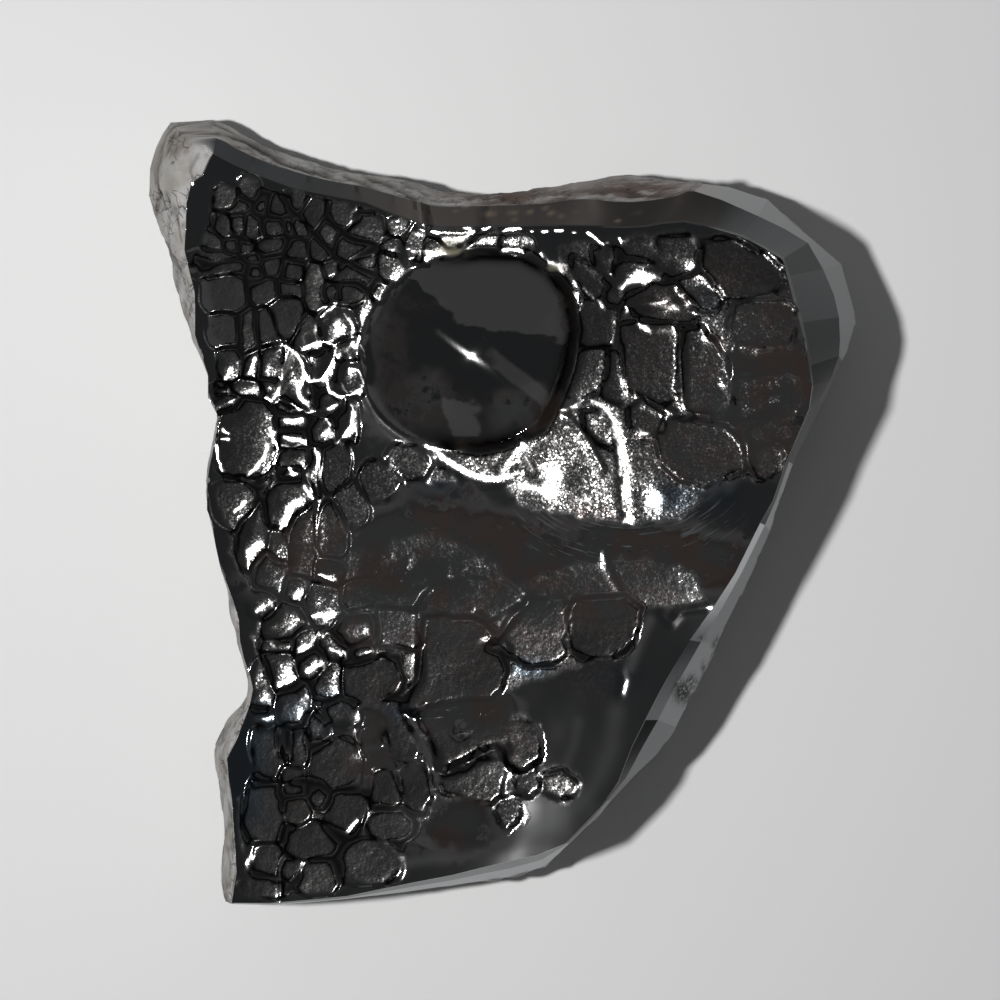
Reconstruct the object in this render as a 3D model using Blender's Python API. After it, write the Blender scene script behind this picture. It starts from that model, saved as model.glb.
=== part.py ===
"""Polished kidney-ore hematite, one solid lump lying on its flat underside with the worked face up.

The stone is drawn as a plan.  A plan position (u, v) is in tenths of a millimetre, u to the right
and v down the drawing sheet.  Heights and reliefs are in millimetres above the table.
"""
import math
import random

import bmesh
import bpy
import numpy as np
from mathutils import Vector, noise
from mathutils.geometry import delaunay_2d_cdt

# Driving sizes
GRID = 0.1                  # mm in one step of the plan
EYE_LEVEL = 480.0           # mm, height from which the plan is drawn
PLAN_LEVEL = 30.0           # mm, height at which the plan is true to size
PLAN_MIDDLE = (500, 500)    # plan position straight below the eye
CENTRE_SHIFT = (0.107, 0.938)  # mm, brings the middle of the footprint to the origin
FINE_SPACING = 0.80         # mm between points of the face where the skin is small-celled
SIDE_SPACING = 1.6          # mm between points along the sides
LOW_LEVEL = 4.0             # mm, height of the edge where the side turns under
LOW_SHRINK = 0.965          # share of the outline at that edge
BASE_SHRINK = 0.87          # share of the outline at the flat underside
SIDE_ROW = 4.6              # mm between the rows of points down the sides
SIDE_SWELL = 0.9            # mm, broad relief of the natural sides
SIDE_CHIPS = 0.35           # mm, broken ledges on the natural sides
UPPER_CALM = 0.45           # share of that relief just under the face
SWELL_PITCH = 0.11          # swells in 1 mm of a natural side
CHIP_PITCH = 0.23           # ledges in 1 mm of a natural side
EDGE_DROP = 0.6             # mm, least drop from the rim to the edge below it
RIM_CLEARANCE = 0.6         # share of a grid step that stays free inside the rim
DOME_HEIGHT = 2.9           # mm
DOME_MIDDLE = (468, 351)
DOME_WAVES = 2              # round waves that its outline is made up of
DOME_BORDER = 8.0           # plan steps over which the skin fades out at the dome
DOME_FOOT = 0.02            # share of the dome's radius in which it meets the moat
MOAT_DEPTH = 0.12           # mm
MOAT_PLACE = 1.02           # distance of the moat, in radii of the dome
MOAT_WIDTH = 0.05           # its width, in the same way
DISH_TIP = 0.15             # rise of the worked face in 1 mm to the right
DISH_RADIUS = 450.0         # mm, radius of the very shallow dish the worked face follows
LEAN_REACH = 100.0          # plan steps over which the leans from that dish run into each other
LEAN_CALM = 0.002           # how much a calm face counts against the wanted leans
HEIGHT_PULL = 0.01          # how much a wanted height counts against a wanted lean
WAVER = 2.6                 # plan steps by which the cells' edges waver
CELL_SQUARENESS = 2.6       # 2 makes the oval cells round, more makes them squarer
SWELLS = ((45.0, 0.035), (20.0, 0.010))  # plan steps from swell to swell, mm, all over the skin
STEP_WIDTH = 1.3            # plan steps in which the edge of a tipped cell stands up from a furrow
SLOPE_VARIETY = 0.45        # share by which the slope of a cell's edge differs from its family's
TIP_VARIETY = 0.035         # by which a cell's tips differ from its family's
STONE_COLOUR = (0.045, 0.047, 0.052, 1.0)

# Rim of the worked face, clockwise from the top left corner
RIM = [(213, 154), (234, 165), (262, 177), (295, 189), (331, 196), (366, 203), (390, 213),
       (423, 225), (444, 228), (484, 227), (540, 226), (582, 227), (624, 228), (645, 227),
       (662, 224), (684, 222), (708, 227), (740, 236), (762, 247), (782, 259), (787, 276),
       (793, 299), (800, 323), (805, 344), (809, 366), (812, 386), (809, 409), (785, 465),
       (773, 500), (760, 523), (735, 573), (712, 609), (689, 640), (661, 689), (645, 720),
       (632, 746), (618, 782), (602, 805), (590, 818), (566, 843), (537, 855), (509, 861),
       (480, 868), (452, 875), (410, 883), (381, 889), (347, 896), (305, 900), (270, 903),
       (232, 903), (237, 872), (234, 830), (232, 800), (229, 780), (227, 759), (236, 742),
       (244, 721), (250, 704), (253, 689), (250, 675), (244, 658), (240, 641), (239, 620),
       (233, 600), (226, 581), (220, 566), (215, 543), (212, 522), (207, 510), (207, 495),
       (208, 476), (211, 460), (217, 430), (218, 416), (208, 397), (208, 375), (195, 335),
       (195, 293), (188, 265), (185, 250), (187, 203), (192, 183), (203, 176), (210, 160)]

# Side of the stone at chosen rim points: rim (u, v), edge below it (u, v, height) and widest
# line (u, v, height).  The sides are lofted through these three lines and on to the underside.
SIDES = [
    ((213, 154), (214, 136, 16), (208, 119.5, 6)), ((234, 165), (238, 148, 16.5), (232, 128, 6)),
    ((262, 177), (262, 159, 17), (272, 149, 6.5)), ((295, 189), (295, 170, 18), (300, 160, 7)),
    ((331, 196), (330, 179, 18.5), (331, 169, 8)), ((366, 203), (362, 185, 19), (364, 174, 8)),
    ((390, 213), (390, 193, 19.5), (392, 178, 8)), ((423, 225), (420, 201, 20), (418, 184, 8)),
    ((444, 228), (440, 206, 20.5), (440, 192, 8)), ((484, 227), (484, 205, 21), (478, 194, 9)),
    ((540, 226), (540, 203, 22), (538, 187, 9)), ((582, 227), (580, 199, 22.5), (590, 180, 9)),
    ((624, 228), (620, 202, 23), (635, 178, 9)), ((645, 227), (645, 201, 23.5), (664, 182, 11)),
    ((662, 224), (672, 197, 24), (680, 184, 13)), ((684, 222), (694, 191, 24.5), (704, 184, 14)),
    ((708, 227), (722, 200, 24.8), (729, 187, 11)), ((740, 236), (758, 216, 24.8), (768, 200, 10)),
    ((762, 247), (785, 229, 23.5), (790, 221, 13)), ((782, 259), (808, 243, 21.5), (812, 239, 15)),
    ((787, 276), (823, 269, 20.5), (841, 264, 12)), ((793, 299), (834, 295, 21), (852, 303, 13)),
    ((800, 323), (839, 317, 22.5), (855, 323, 15)), ((805, 344), (840, 340, 23.5), (847, 351, 18)),
    ((809, 366), (839, 356, 23.2), (842, 361, 19)), ((812, 386), (831, 378, 23.6), (834, 381, 20)),
    ((809, 409), (819, 401, 25), (823, 403, 22)), ((785, 465), (789, 462, 27), (793, 464, 24)),
    ((773, 500), (776, 500, 26.3), (778, 503, 24)), ((760, 523), (765, 525, 25.8), (769, 530, 23)),
    ((735, 573), (742, 572, 25), (750, 574, 21)), ((712, 609), (722, 608, 24.5), (733, 610, 21)),
    ((689, 640), (701, 642, 24), (715, 645, 21)), ((661, 689), (674, 689, 23), (691, 696, 18.5)),
    ((645, 720), (658, 720, 22), (676, 727, 17.5)), ((632, 746), (643, 746, 21.5), (657, 754, 17)),
    ((618, 782), (626, 778, 20.5), (636, 774, 17)), ((602, 805), (607, 801, 20), (612, 800, 16)),
    ((590, 818), (593, 818, 19.5), (596, 817, 16)), ((566, 843), (569, 843, 17.5), (572, 841, 14)),
    ((537, 855), (541, 860, 16), (545, 866, 10)), ((509, 861), (511, 868, 16), (513, 876, 10)),
    ((480, 868), (481, 874, 16.5), (482, 881, 10)), ((452, 875), (453, 880, 16.5), (453, 885, 11)),
    ((410, 883), (411, 887, 17), (411, 891, 12)), ((347, 896), (347, 898, 17.5), (346, 899, 14)),
    ((305, 900), (304, 902, 17.5), (304, 903, 14)), ((270, 903), (269, 905, 17.5), (269, 905, 13)),
    ((232, 903), (230, 904, 16.5), (229, 904, 11)), ((237, 872), (231, 872, 15), (221, 874, 8)),
    ((234, 830), (229, 830, 15), (225, 828, 8)), ((229, 780), (224, 780, 15.5), (218, 778, 8)),
    ((227, 759), (222, 757, 15.5), (215, 750, 8)), ((236, 742), (230, 738, 16), (219, 737, 8)),
    ((244, 721), (238, 721, 17), (229, 719, 8)), ((253, 689), (251, 690, 17.5), (248, 691, 11)),
    ((240, 641), (239, 641, 17.5), (240, 641, 10)), ((220, 566), (219, 566, 17.5), (220, 566, 10)),
    ((207, 495), (206, 495, 17), (207, 495, 9)), ((218, 416), (216, 416, 17), (216, 416, 9)),
    ((208, 375), (206, 375, 16.5), (205, 375, 9)), ((195, 335), (192, 334, 15.5), (189, 331, 8)),
    ((195, 293), (188, 294, 15), (176, 292, 7.5)), ((188, 265), (180, 265, 14.5), (171, 262, 7)),
    ((185, 250), (176, 248, 14.5), (166, 243, 7)), ((187, 203), (172, 208, 14), (154, 208, 6.5)),
    ((192, 183), (172, 184, 14), (150, 184, 6)), ((203, 176), (172, 160, 14), (153, 160, 6)),
    ((210, 160), (188, 138, 14.5), (172, 124, 6)),
]
NATURAL_SIDES = (48, 15)    # the sides from the one number round to the other are left rough
GROUND_BANDS = (0, 15)      # between these sides the band under the rim is ground smooth

# How far the worked face leans from its dish: plan position, then extra rise in 1 mm to the right
# and in 1 mm up the drawing
FACE_LEANS = [
    (235, 350, 0.14, -0.04), (250, 220, 0.19, -0.03), (360, 230, 0.17, 0.00),
    (325, 370, 0.08, -0.06), (290, 470, 0.12, -0.06), (260, 560, 0.12, -0.06),
    (300, 700, 0.13, -0.07), (280, 850, 0.14, -0.08), (380, 800, 0.14, -0.05),
    (450, 850, 0.14, -0.03),
    (450, 700, 0.13, -0.03), (600, 730, 0.14, 0.04), (480, 590, 0.11, 0.00),
    (600, 600, 0.12, 0.03), (670, 590, 0.13, 0.00), (740, 530, 0.12, 0.07),
    (480, 500, 0.12, 0.00), (555, 480, 0.10, 0.01),
    (655, 500, 0.10, 0.03), (600, 450, 0.13, 0.03), (700, 440, 0.12, 0.07), (600, 420, 0.11, 0.03),
    (800, 350, 0.15, 0.09), (740, 265, 0.14, 0.08), (650, 320, 0.11, 0.06),
    (540, 240, 0.13, 0.04), (468, 351, 0.03, -0.03), (500, 380, 0.06, -0.02),
    (360, 400, 0.12, -0.03),
]
# Wanted heights of the worked face: plan position and millimetres above the table
FACE_HEIGHTS = [(800, 350, 28.9), (735, 565, 26.0), (593, 812, 21.5), (235, 895, 15.0),
                (205, 450, 13.0), (213, 160, 13.8), (500, 235, 22.0)]

# Outline of the dome and the moat around it
DOME_OUTLINE = [(440, 262), (480, 256), (520, 257), (548, 272), (566, 295), (572, 330), (566, 365),
                (556, 395), (540, 425), (512, 440), (478, 446), (442, 440), (405, 436), (380, 420),
                (367, 395), (364, 370), (366, 335), (376, 305), (392, 285), (411, 271)]

# Cells of the natural skin: plan position, width, height and turn in degrees
# Each family also has a style: the slope at its edge, the plan steps over which it levels off, the
# depth of the furrow around it in millimetres, the furrow's half width, the plan steps by which
# a cell may grow past its own outline, and how far its cells are tipped, as a rise in 1 mm to the
# right and in 1 mm up the drawing.
CROWDED_CELLS = ((0.08, 6.0, 0.01, 2.0, 9.0, -0.06, -0.10), [
    (225, 199, 10, 13, 0), (250, 192, 11, 17, 0), (240, 208, 24, 10, 34), (259, 206, 11, 14, 0),
    (254, 225, 14, 24, 0), (237, 222, 14, 16, 0), (225, 226, 12, 16, 0), (215, 242, 11, 9, 0),
    (233, 244, 14, 12, 0), (220, 257, 30, 11, 10), (248, 247, 15, 15, 0), (227, 267, 38, 13, 0),
    (253, 258, 13, 10, 0), (279, 208, 19, 15, 0), (295, 201, 12, 12, 0), (313, 215, 15, 19, 0),
    (342, 214, 18, 18, 0), (300, 229, 13, 15, 0), (273, 226, 17, 20, 20), (287, 228, 8, 15, 20),
    (273, 245, 22, 13, 20), (329, 236, 15, 23, 0), (297, 250, 14, 18, 0), (321, 250, 18, 20, 0),
    (349, 248, 27, 16, 0), (367, 229, 24, 17, 0), (365, 262, 16, 16, 0), (256, 274, 14, 15, 0),
    (275, 267, 18, 16, 0), (294, 272, 17, 18, 0), (265, 290, 26, 20, 0), (291, 289, 20, 15, 0),
    (225, 292, 34, 30, 0), (315, 285, 18, 34, 0), (331, 268, 14, 13, 0), (352, 275, 26, 13, 0),
    (333, 292, 14, 12, 0), (349, 293, 14, 15, 0), (224, 329, 24, 26, 0), (245, 330, 11, 24, 0),
    (267, 327, 17, 24, 0), (288, 315, 26, 34, 0), (306, 332, 18, 24, 0), (396, 228, 14, 12, 0),
    (392, 245, 15, 14, 0), (413, 241, 22, 24, 0), (430, 248, 15, 17, 0), (459, 236, 34, 11, 0),
    (484, 242, 24, 17, 0), (513, 247, 24, 14, 0), (388, 267, 16, 22, 0), (383, 287, 12, 14, 0),
])
ROUND_CELLS = ((0.30, 14.0, 0.02, 2.4, 9.0, -0.02, -0.08), [
    (336, 326, 26, 26, 0), (347, 346, 13, 15, 0), (297, 392, 15, 44, 12), (331, 407, 18, 14, 0),
    (293, 409, 17, 11, 0), (292, 423, 25, 13, 0), (293, 438, 28, 14, 0), (320, 434, 24, 25, 0),
    (229, 368, 11, 26, 0), (252, 365, 10, 17, 0), (271, 365, 18, 26, 0), (247, 391, 29, 12, 0),
    (269, 388, 14, 17, 0), (350, 380, 14, 22, 0), (296, 458, 28, 16, 0), (317, 460, 11, 31, 0),
    (292, 473, 12, 10, 0), (234, 500, 30, 38, 0), (287, 505, 46, 25, 58), (254, 536, 20, 40, 0),
    (278, 549, 11, 30, 0), (272, 573, 26, 32, 0), (301, 548, 16, 60, 0), (297, 589, 19, 22, 0),
    (262, 603, 17, 16, 0), (323, 604, 32, 33, 0), (289, 622, 36, 30, 55), (302, 646, 14, 20, 0),
    (284, 647, 18, 11, 0), (335, 650, 18, 13, -30), (314, 664, 22, 16, 0), (282, 672, 26, 30, 0),
    (263, 690, 16, 32, 0), (294, 706, 22, 36, 0), (263, 719, 15, 14, 0), (330, 682, 18, 34, 0),
    (356, 630, 28, 27, 0), (362, 650, 12, 8, 0), (330, 571, 18, 22, 0), (242, 478, 20, 10, 0),
    (345, 420, 14, 30, 0), (227, 403, 18, 14, 0), (222, 392, 14, 10, 0),
])
LOW_CELLS = ((0.07, 9.0, 0.01, 2.4, 6.0, 0.03, -0.08), [
    (267, 755, 25, 50, 0), (285, 747, 9, 20, 0), (299, 750, 20, 27, 0), (318, 730, 14, 28, 0),
    (340, 710, 32, 22, 0), (332, 765, 52, 50, 0), (370, 739, 18, 18, 0), (266, 810, 35, 58, 0),
    (290, 774, 24, 16, 0), (293, 790, 22, 14, 0), (296, 812, 22, 24, 0), (319, 790, 20, 26, 0),
    (345, 810, 30, 44, 0), (312, 840, 48, 28, 0), (386, 789, 28, 32, 0), (391, 824, 35, 30, 0),
    (369, 862, 56, 36, 0), (268, 862, 21, 34, 0), (293, 868, 21, 16, 0), (318, 876, 36, 30, 0),
    (262, 887, 34, 18, 0),
])
FLAT_CELLS = ((0.05, 8.0, 0.01, 2.4, 5.0, 0.04, -0.04), [
    (408, 463, 36, 30, 0), (379, 482, 34, 34, 0), (440, 477, 16, 12, 0), (352, 505, 30, 40, 0),
    (335, 465, 26, 44, 0), (334, 530, 26, 44, 0), (411, 418, 12, 12, 0),
])

# Flat-topped plates of the skin, each drawn with its own outline
RIGHT_PLATES = ((0.14, 7.0, 0.02, 2.4, 3.0, 0.01, 0.05), [
    [(622, 328), (645, 323), (672, 325), (679, 335), (677, 372), (675, 398), (660, 406),
     (640, 396), (624, 388), (619, 350)],
    [(686, 334), (700, 331), (716, 345), (727, 360), (729, 385), (727, 415), (708, 415),
     (686, 408), (684, 370)],
    [(700, 242), (735, 241), (764, 256), (780, 270), (781, 287), (768, 296), (735, 296),
     (712, 290), (702, 270)],
    [(735, 305), (750, 299), (775, 303), (792, 308), (794, 330), (788, 346), (760, 350),
     (738, 345), (729, 325)],
    [(737, 380), (770, 376), (797, 380), (801, 400), (796, 417), (783, 423), (765, 412),
     (748, 419), (737, 422)],
    [(743, 430), (765, 420), (786, 427), (790, 435), (775, 440), (751, 441)],
    [(671, 420), (705, 423), (728, 429), (740, 441), (745, 456), (743, 468), (725, 474),
     (705, 482), (680, 478), (662, 462), (657, 445), (664, 431)],
    [(752, 448), (775, 446), (783, 453), (778, 470), (768, 479), (758, 477), (751, 462)],
    [(640, 403), (663, 413), (659, 425), (651, 438), (640, 441), (632, 425), (631, 411)],
])
MIDDLE_PLATES = ((0.09, 7.0, 0.02, 2.6, 3.0, 0.03, -0.07), [
    [(346, 584), (375, 580), (415, 582), (432, 586), (418, 600), (412, 607), (396, 606),
     (370, 602), (350, 606), (344, 600)],
    [(434, 587), (470, 581), (505, 586), (522, 600), (505, 612), (490, 617), (455, 614),
     (432, 607), (424, 600)],
    [(379, 611), (418, 613), (418, 640), (413, 649), (398, 645), (380, 643)],
    [(423, 618), (478, 618), (493, 634), (486, 648), (500, 656), (504, 672), (497, 690),
     (490, 697), (470, 698), (450, 699), (430, 705), (413, 713), (409, 700), (420, 680)],
    [(505, 628), (530, 601), (562, 600), (566, 625), (560, 637), (567, 652), (552, 662),
     (530, 665), (508, 655), (501, 642)],
    [(572, 600), (625, 598), (640, 610), (634, 640), (612, 656), (590, 660), (574, 650),
     (570, 625)],
    [(345, 668), (365, 664), (383, 656), (395, 660), (401, 680), (398, 690), (385, 700),
     (372, 706), (346, 700)],
    [(389, 699), (402, 702), (405, 725), (418, 746), (417, 760), (400, 761), (389, 748),
     (385, 716)],
    [(420, 718), (444, 717), (449, 726), (447, 736), (456, 742), (475, 733), (490, 712),
     (500, 706), (505, 721), (534, 723), (540, 745), (538, 760), (520, 769), (506, 764),
     (503, 752), (497, 746), (478, 748), (464, 758), (450, 767), (439, 767), (432, 745)],
    [(441, 776), (465, 771), (480, 761), (499, 758), (502, 775), (500, 795), (492, 803),
     (478, 802), (468, 797), (445, 791)],
    [(514, 775), (533, 768), (540, 780), (531, 793), (518, 788)],
    [(498, 800), (520, 796), (521, 815), (508, 829), (495, 813)],
    [(543, 776), (562, 771), (577, 783), (570, 794), (558, 795), (544, 789)],
    [(401, 769), (420, 766), (430, 776), (431, 795), (424, 811), (409, 811), (401, 799)],
])

COLLAR_PLATES = ((0.17, 9.0, 0.02, 2.4, 3.0, -0.01, -0.01), [
    [(575, 258), (590, 268), (604, 288), (600, 300), (586, 292), (574, 276)],
    [(596, 250), (612, 248), (616, 262), (610, 276), (600, 272)],
    [(620, 246), (640, 243), (652, 250), (655, 262), (640, 260), (624, 257)],
    [(612, 263), (640, 261), (656, 264), (658, 273), (640, 283), (628, 292), (617, 280)],
    [(660, 240), (690, 237), (701, 248), (700, 266), (676, 279), (664, 270)],
    [(629, 300), (655, 285), (674, 283), (688, 300), (700, 313), (690, 323), (660, 319),
     (634, 313)],
    [(677, 280), (701, 268), (722, 287), (715, 305), (700, 313), (688, 298)],
    [(604, 292), (616, 284), (626, 295), (620, 306), (609, 305)],
    [(580, 300), (602, 302), (616, 310), (616, 330), (610, 346), (586, 347), (578, 330)],
    [(566, 353), (604, 350), (606, 372), (596, 392), (576, 400), (560, 388)],
    [(608, 352), (620, 350), (624, 388), (622, 402), (606, 398), (600, 388)],
    [(584, 412), (604, 410), (612, 428), (610, 446), (598, 440), (586, 424)],
    [(552, 270), (570, 276), (577, 300), (577, 330), (566, 330), (560, 300)],
])

# The one large kidney-shaped pillow at the left edge
KIDNEY = ((0.34, 22.0, 0.03, 3.0, 3.0, 0.02, -0.10), [
    [(226, 412), (243, 402), (264, 402), (274, 414), (278, 432), (276, 450), (268, 466),
     (256, 478), (243, 484), (230, 481), (220, 468), (217, 445), (219, 424)],
])

# Raised lines of the skin: width in plan steps, rise in millimetres, points
RIDGES = [
    (5.0, 0.09, [(319, 322), (325, 310), (336, 304), (348, 311), (353, 323), (352, 340)]),
    (5.0, 0.10, [(300, 345), (305, 364), (312, 378), (319, 381), (327, 372), (337, 348),
                 (333, 341), (318, 341), (306, 347)]),
    (5.0, 0.09, [(344, 367), (356, 366), (363, 375), (361, 388), (347, 395), (332, 386)]),
    (4.2, 0.07, [(345, 348), (350, 360), (344, 380), (348, 390)]),
    (4.2, 0.07, [(363, 346), (368, 366), (367, 384)]),
    (6.0, 0.11, [(356, 400), (352, 419), (339, 441)]),
    (5.5, 0.10, [(279, 343), (291, 352), (288, 372), (281, 386), (273, 399)]),
    (4.4, 0.08, [(299, 400), (313, 412), (324, 414), (334, 406)]),
    (4.4, 0.08, [(305, 470), (307, 484), (312, 499)]),
    (4.4, 0.05, [(316, 500), (320, 530), (316, 571), (337, 582)]),
    (3.5, 0.07, [(318, 637), (334, 623)]),
    (5.2, 0.13, [(424, 443), (435, 453), (447, 462), (460, 470), (473, 477), (487, 481),
                 (500, 481), (509, 477), (515, 471)]),
    (5.0, 0.10, [(500, 470), (513, 455), (521, 441), (528, 452), (536, 464)]),
    (4.6, 0.10, [(560, 410), (580, 405), (595, 403), (606, 410), (613, 420), (617, 435),
                 (620, 452), (623, 470), (623, 493), (626, 506), (626, 523)]),
    (4.5, 0.09, [(529, 252), (547, 257), (563, 270), (571, 280), (576, 300), (578, 328)]),
    (4.0, 0.08, [(411, 271), (393, 285), (383, 299), (368, 325), (364, 347), (364, 360),
                 (365, 380)]),
    (4.0, 0.10, [(418, 228), (435, 232), (461, 233), (485, 230), (513, 231), (544, 231),
                 (575, 232), (601, 237), (621, 240)]),
    (4.0, 0.09, [(620, 243), (640, 243), (653, 249), (659, 259), (660, 273), (657, 279)]),
    (4.0, 0.10, [(601, 268), (620, 288), (640, 284), (658, 274)]),
    (5.0, 0.10, [(630, 303), (655, 303), (680, 308), (694, 312)]),
    (3.5, 0.07, [(673, 287), (685, 305)]),
    (3.5, 0.07, [(381, 841), (400, 856)]),
    (3.5, 0.07, [(255, 844), (243, 865)]),
    (3.5, 0.07, [(621, 669), (624, 680), (620, 694)]),
    (4.0, 0.08, [(661, 614), (671, 624), (681, 611), (706, 607)]),
]

# Sunken lines: width in plan steps, depth in millimetres, points
GROOVES = [
    (4.2, 0.14, [(681, 330), (681, 405)]),
    (4.2, 0.14, [(640, 400), (663, 410), (681, 414), (706, 418), (727, 422), (739, 433),
                 (748, 448), (749, 466)]),
    (4.2, 0.14, [(672, 417), (656, 440)]),
    (3.8, 0.11, [(744, 426), (767, 414)]),
    (3.8, 0.11, [(733, 345), (733, 420)]),
    (3.4, 0.16, [(478, 615), (497, 636), (508, 649)]),
    (3.4, 0.16, [(529, 598), (497, 637), (485, 643)]),
    (3.0, 0.07, [(605, 549), (606, 566), (623, 599)]),
    (5.1, 0.20, [(410, 715), (422, 737), (434, 757), (436, 771), (452, 770), (474, 759),
                 (490, 751), (505, 748)]),
    (3.4, 0.16, [(420, 606), (420, 680), (408, 692)]),
    (3.0, 0.11, [(359, 822), (347, 836)]),
    (3.0, 0.11, [(281, 875), (281, 901)]),
    (3.0, 0.11, [(566, 416), (585, 437), (603, 470)]),
]

# Sunken places: plan position, width, height and depth in millimetres
HOLLOWS = [(757, 361, 78, 34, 0.07), (371, 722, 28, 34, 0.18), (376, 762, 44, 24, 0.18),
           (470, 712, 60, 26, 0.25), (455, 826, 92, 44, 0.20), (311, 390, 16, 16, 0.15),
           (315, 362, 22, 22, 0.18), (700, 300, 26, 20, 0.10)]

# Tipped places of the skin: plan position, width, height, and the rise in 1 mm to the right and in
# 1 mm up the drawing
TIPPED_PLACES = [(468, 351, 250, 250, -0.055, -0.03), (554, 482, 34, 40, -0.10, -0.01),
                 (650, 500, 30, 32, -0.09, -0.03), (508, 458, 40, 26, -0.07, 0.02),
                 (585, 425, 44, 30, -0.05, -0.01), (690, 268, 34, 22, -0.13, -0.11),
                 (590, 250, 50, 20, -0.08, -0.06)]


def from_plan(u, v, height):
    """Turn a plan position and a height into x and y in millimetres about the footprint's middle."""
    spread = GRID * (EYE_LEVEL - height) / (EYE_LEVEL - PLAN_LEVEL)
    x = (u - PLAN_MIDDLE[0]) * spread + CENTRE_SHIFT[0]
    y = (PLAN_MIDDLE[1] - v) * spread + CENTRE_SHIFT[1]
    return x, y


def smooth_step(value):
    """0 below 0, 1 above 1 and an S-curve between."""
    t = np.clip(value, 0.0, 1.0)
    return t * t * (3.0 - 2.0 * t)


def bulge(value):
    """0 at 0, rising to 1 at 1 like the side of a parabola, and 1 from there on."""
    return 1.0 - (1.0 - np.clip(value, 0.0, 1.0)) ** 2


def dish(u, v):
    """Height of the shallow tipped dish that the worked face follows."""
    x, y = (u - PLAN_MIDDLE[0]) * GRID, (PLAN_MIDDLE[1] - v) * GRID
    return DISH_TIP * x + (x * x + y * y) / (2 * DISH_RADIUS)


def leaning_sheet(leans, heights):
    """Return the smooth sheet over the dish that best follows the leans and the wanted heights."""
    leans, heights = np.array(leans), np.array(heights)
    spots = np.concatenate([leans[:, :2], heights[:, :2]])
    step = LEAN_REACH * GRID

    def bowls(u, v):
        across = (np.asarray(u)[..., None] - spots[:, 0]) / LEAN_REACH
        down = (np.asarray(v)[..., None] - spots[:, 1]) / LEAN_REACH
        return across, down, np.sqrt(across * across + down * down + 1.0)

    across, down, bowl = bowls(leans[:, 0], leans[:, 1])
    none, one = np.zeros((len(leans), 1)), np.ones((len(leans), 1))
    rightward = np.hstack([across / bowl / step, none, one / step, none])
    upward = np.hstack([-down / bowl / step, none, none, -one / step])
    bowl = bowls(heights[:, 0], heights[:, 1])[2]
    level = np.hstack([bowl, np.ones((len(heights), 1)), heights[:, :2] / LEAN_REACH])
    calm = LEAN_CALM * np.eye(len(spots) + 3)
    calm[-3:] = 0.0
    system = np.vstack([rightward, upward, HEIGHT_PULL * level, calm])
    lift = heights[:, 2] - dish(heights[:, 0], heights[:, 1])
    wanted = np.concatenate([leans[:, 2], leans[:, 3], HEIGHT_PULL * lift,
                             np.zeros(len(spots) + 3)])
    weights = np.linalg.lstsq(system, wanted, rcond=None)[0]

    def height(u, v):
        plane = weights[-3] + weights[-2] * u / LEAN_REACH + weights[-1] * v / LEAN_REACH
        return dish(u, v) + plane + bowls(u, v)[2] @ weights[:-3]

    return height


def ripple(u, v, size, seed):
    """Smooth random ripple between -1 and 1, about size plan steps from swell to swell."""
    u, v = u / size + 37.7 * seed, v / size + 91.3 * seed
    cell_u, cell_v = np.floor(u), np.floor(v)
    share_u, share_v = smooth_step(u - cell_u), smooth_step(v - cell_v)

    def knot(ku, kv):
        scatter = np.sin(ku * 127.1 + kv * 311.7) * 43758.5453
        return scatter - np.floor(scatter)

    upper = knot(cell_u, cell_v) * (1 - share_u) + knot(cell_u + 1, cell_v) * share_u
    lower = knot(cell_u, cell_v + 1) * (1 - share_u) + knot(cell_u + 1, cell_v + 1) * share_u
    return 2.0 * (upper * (1 - share_v) + lower * share_v) - 1.0


def distance_to_line(u, v, points, closed=False):
    """Shortest plan distance from each (u, v) to a line through the points."""
    nearest = np.full(np.shape(u), 1e9)
    ends = points[1:] + points[:1] if closed else points[1:]
    for (au, av), (bu, bv) in zip(points, ends):
        du, dv = bu - au, bv - av
        along = np.clip(((u - au) * du + (v - av) * dv) / (du * du + dv * dv), 0.0, 1.0)
        nearest = np.minimum(nearest, np.hypot(u - au - along * du, v - av - along * dv))
    return nearest


def distance_to_outline(u, v, points):
    """Plan distance to a closed outline, negative inside it."""
    inside = np.zeros(np.shape(u), dtype=bool)
    for (au, av), (bu, bv) in zip(points, points[1:] + points[:1]):
        if av != bv:
            crosses = (av > v) != (bv > v)
            inside ^= crosses & (u < (bu - au) * (v - av) / (bv - av) + au)
    distance = distance_to_line(u, v, points, closed=True)
    return np.where(inside, -distance, distance)


def distance_to_cell(u, v, cell):
    """Plan distance to an oval cell, negative inside it."""
    cu, cv, width, height, turn = cell
    turn = math.radians(turn)
    across = ((u - cu) * math.cos(turn) - (v - cv) * math.sin(turn)) / (width / 2)
    down = ((u - cu) * math.sin(turn) + (v - cv) * math.cos(turn)) / (height / 2)
    corners = np.abs(across) ** CELL_SQUARENESS + np.abs(down) ** CELL_SQUARENESS
    oval = corners ** (1 / CELL_SQUARENESS)
    return (oval - 1.0) * min(width, height) / 2


def own_style(style, middle):
    """A family's style with the slope and tips of the member that has this middle."""
    slope, reach, furrow, half_width, grow, tip_right, tip_up = style
    chance = random.Random(round(middle[0]) * 1000 + round(middle[1]))
    slope *= chance.uniform(1.0 - SLOPE_VARIETY, 1.0 + SLOPE_VARIETY)
    tip_right += chance.uniform(-TIP_VARIETY, TIP_VARIETY)
    tip_up += chance.uniform(-TIP_VARIETY, TIP_VARIETY)
    return slope, reach, furrow, half_width, grow, tip_right, tip_up


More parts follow.
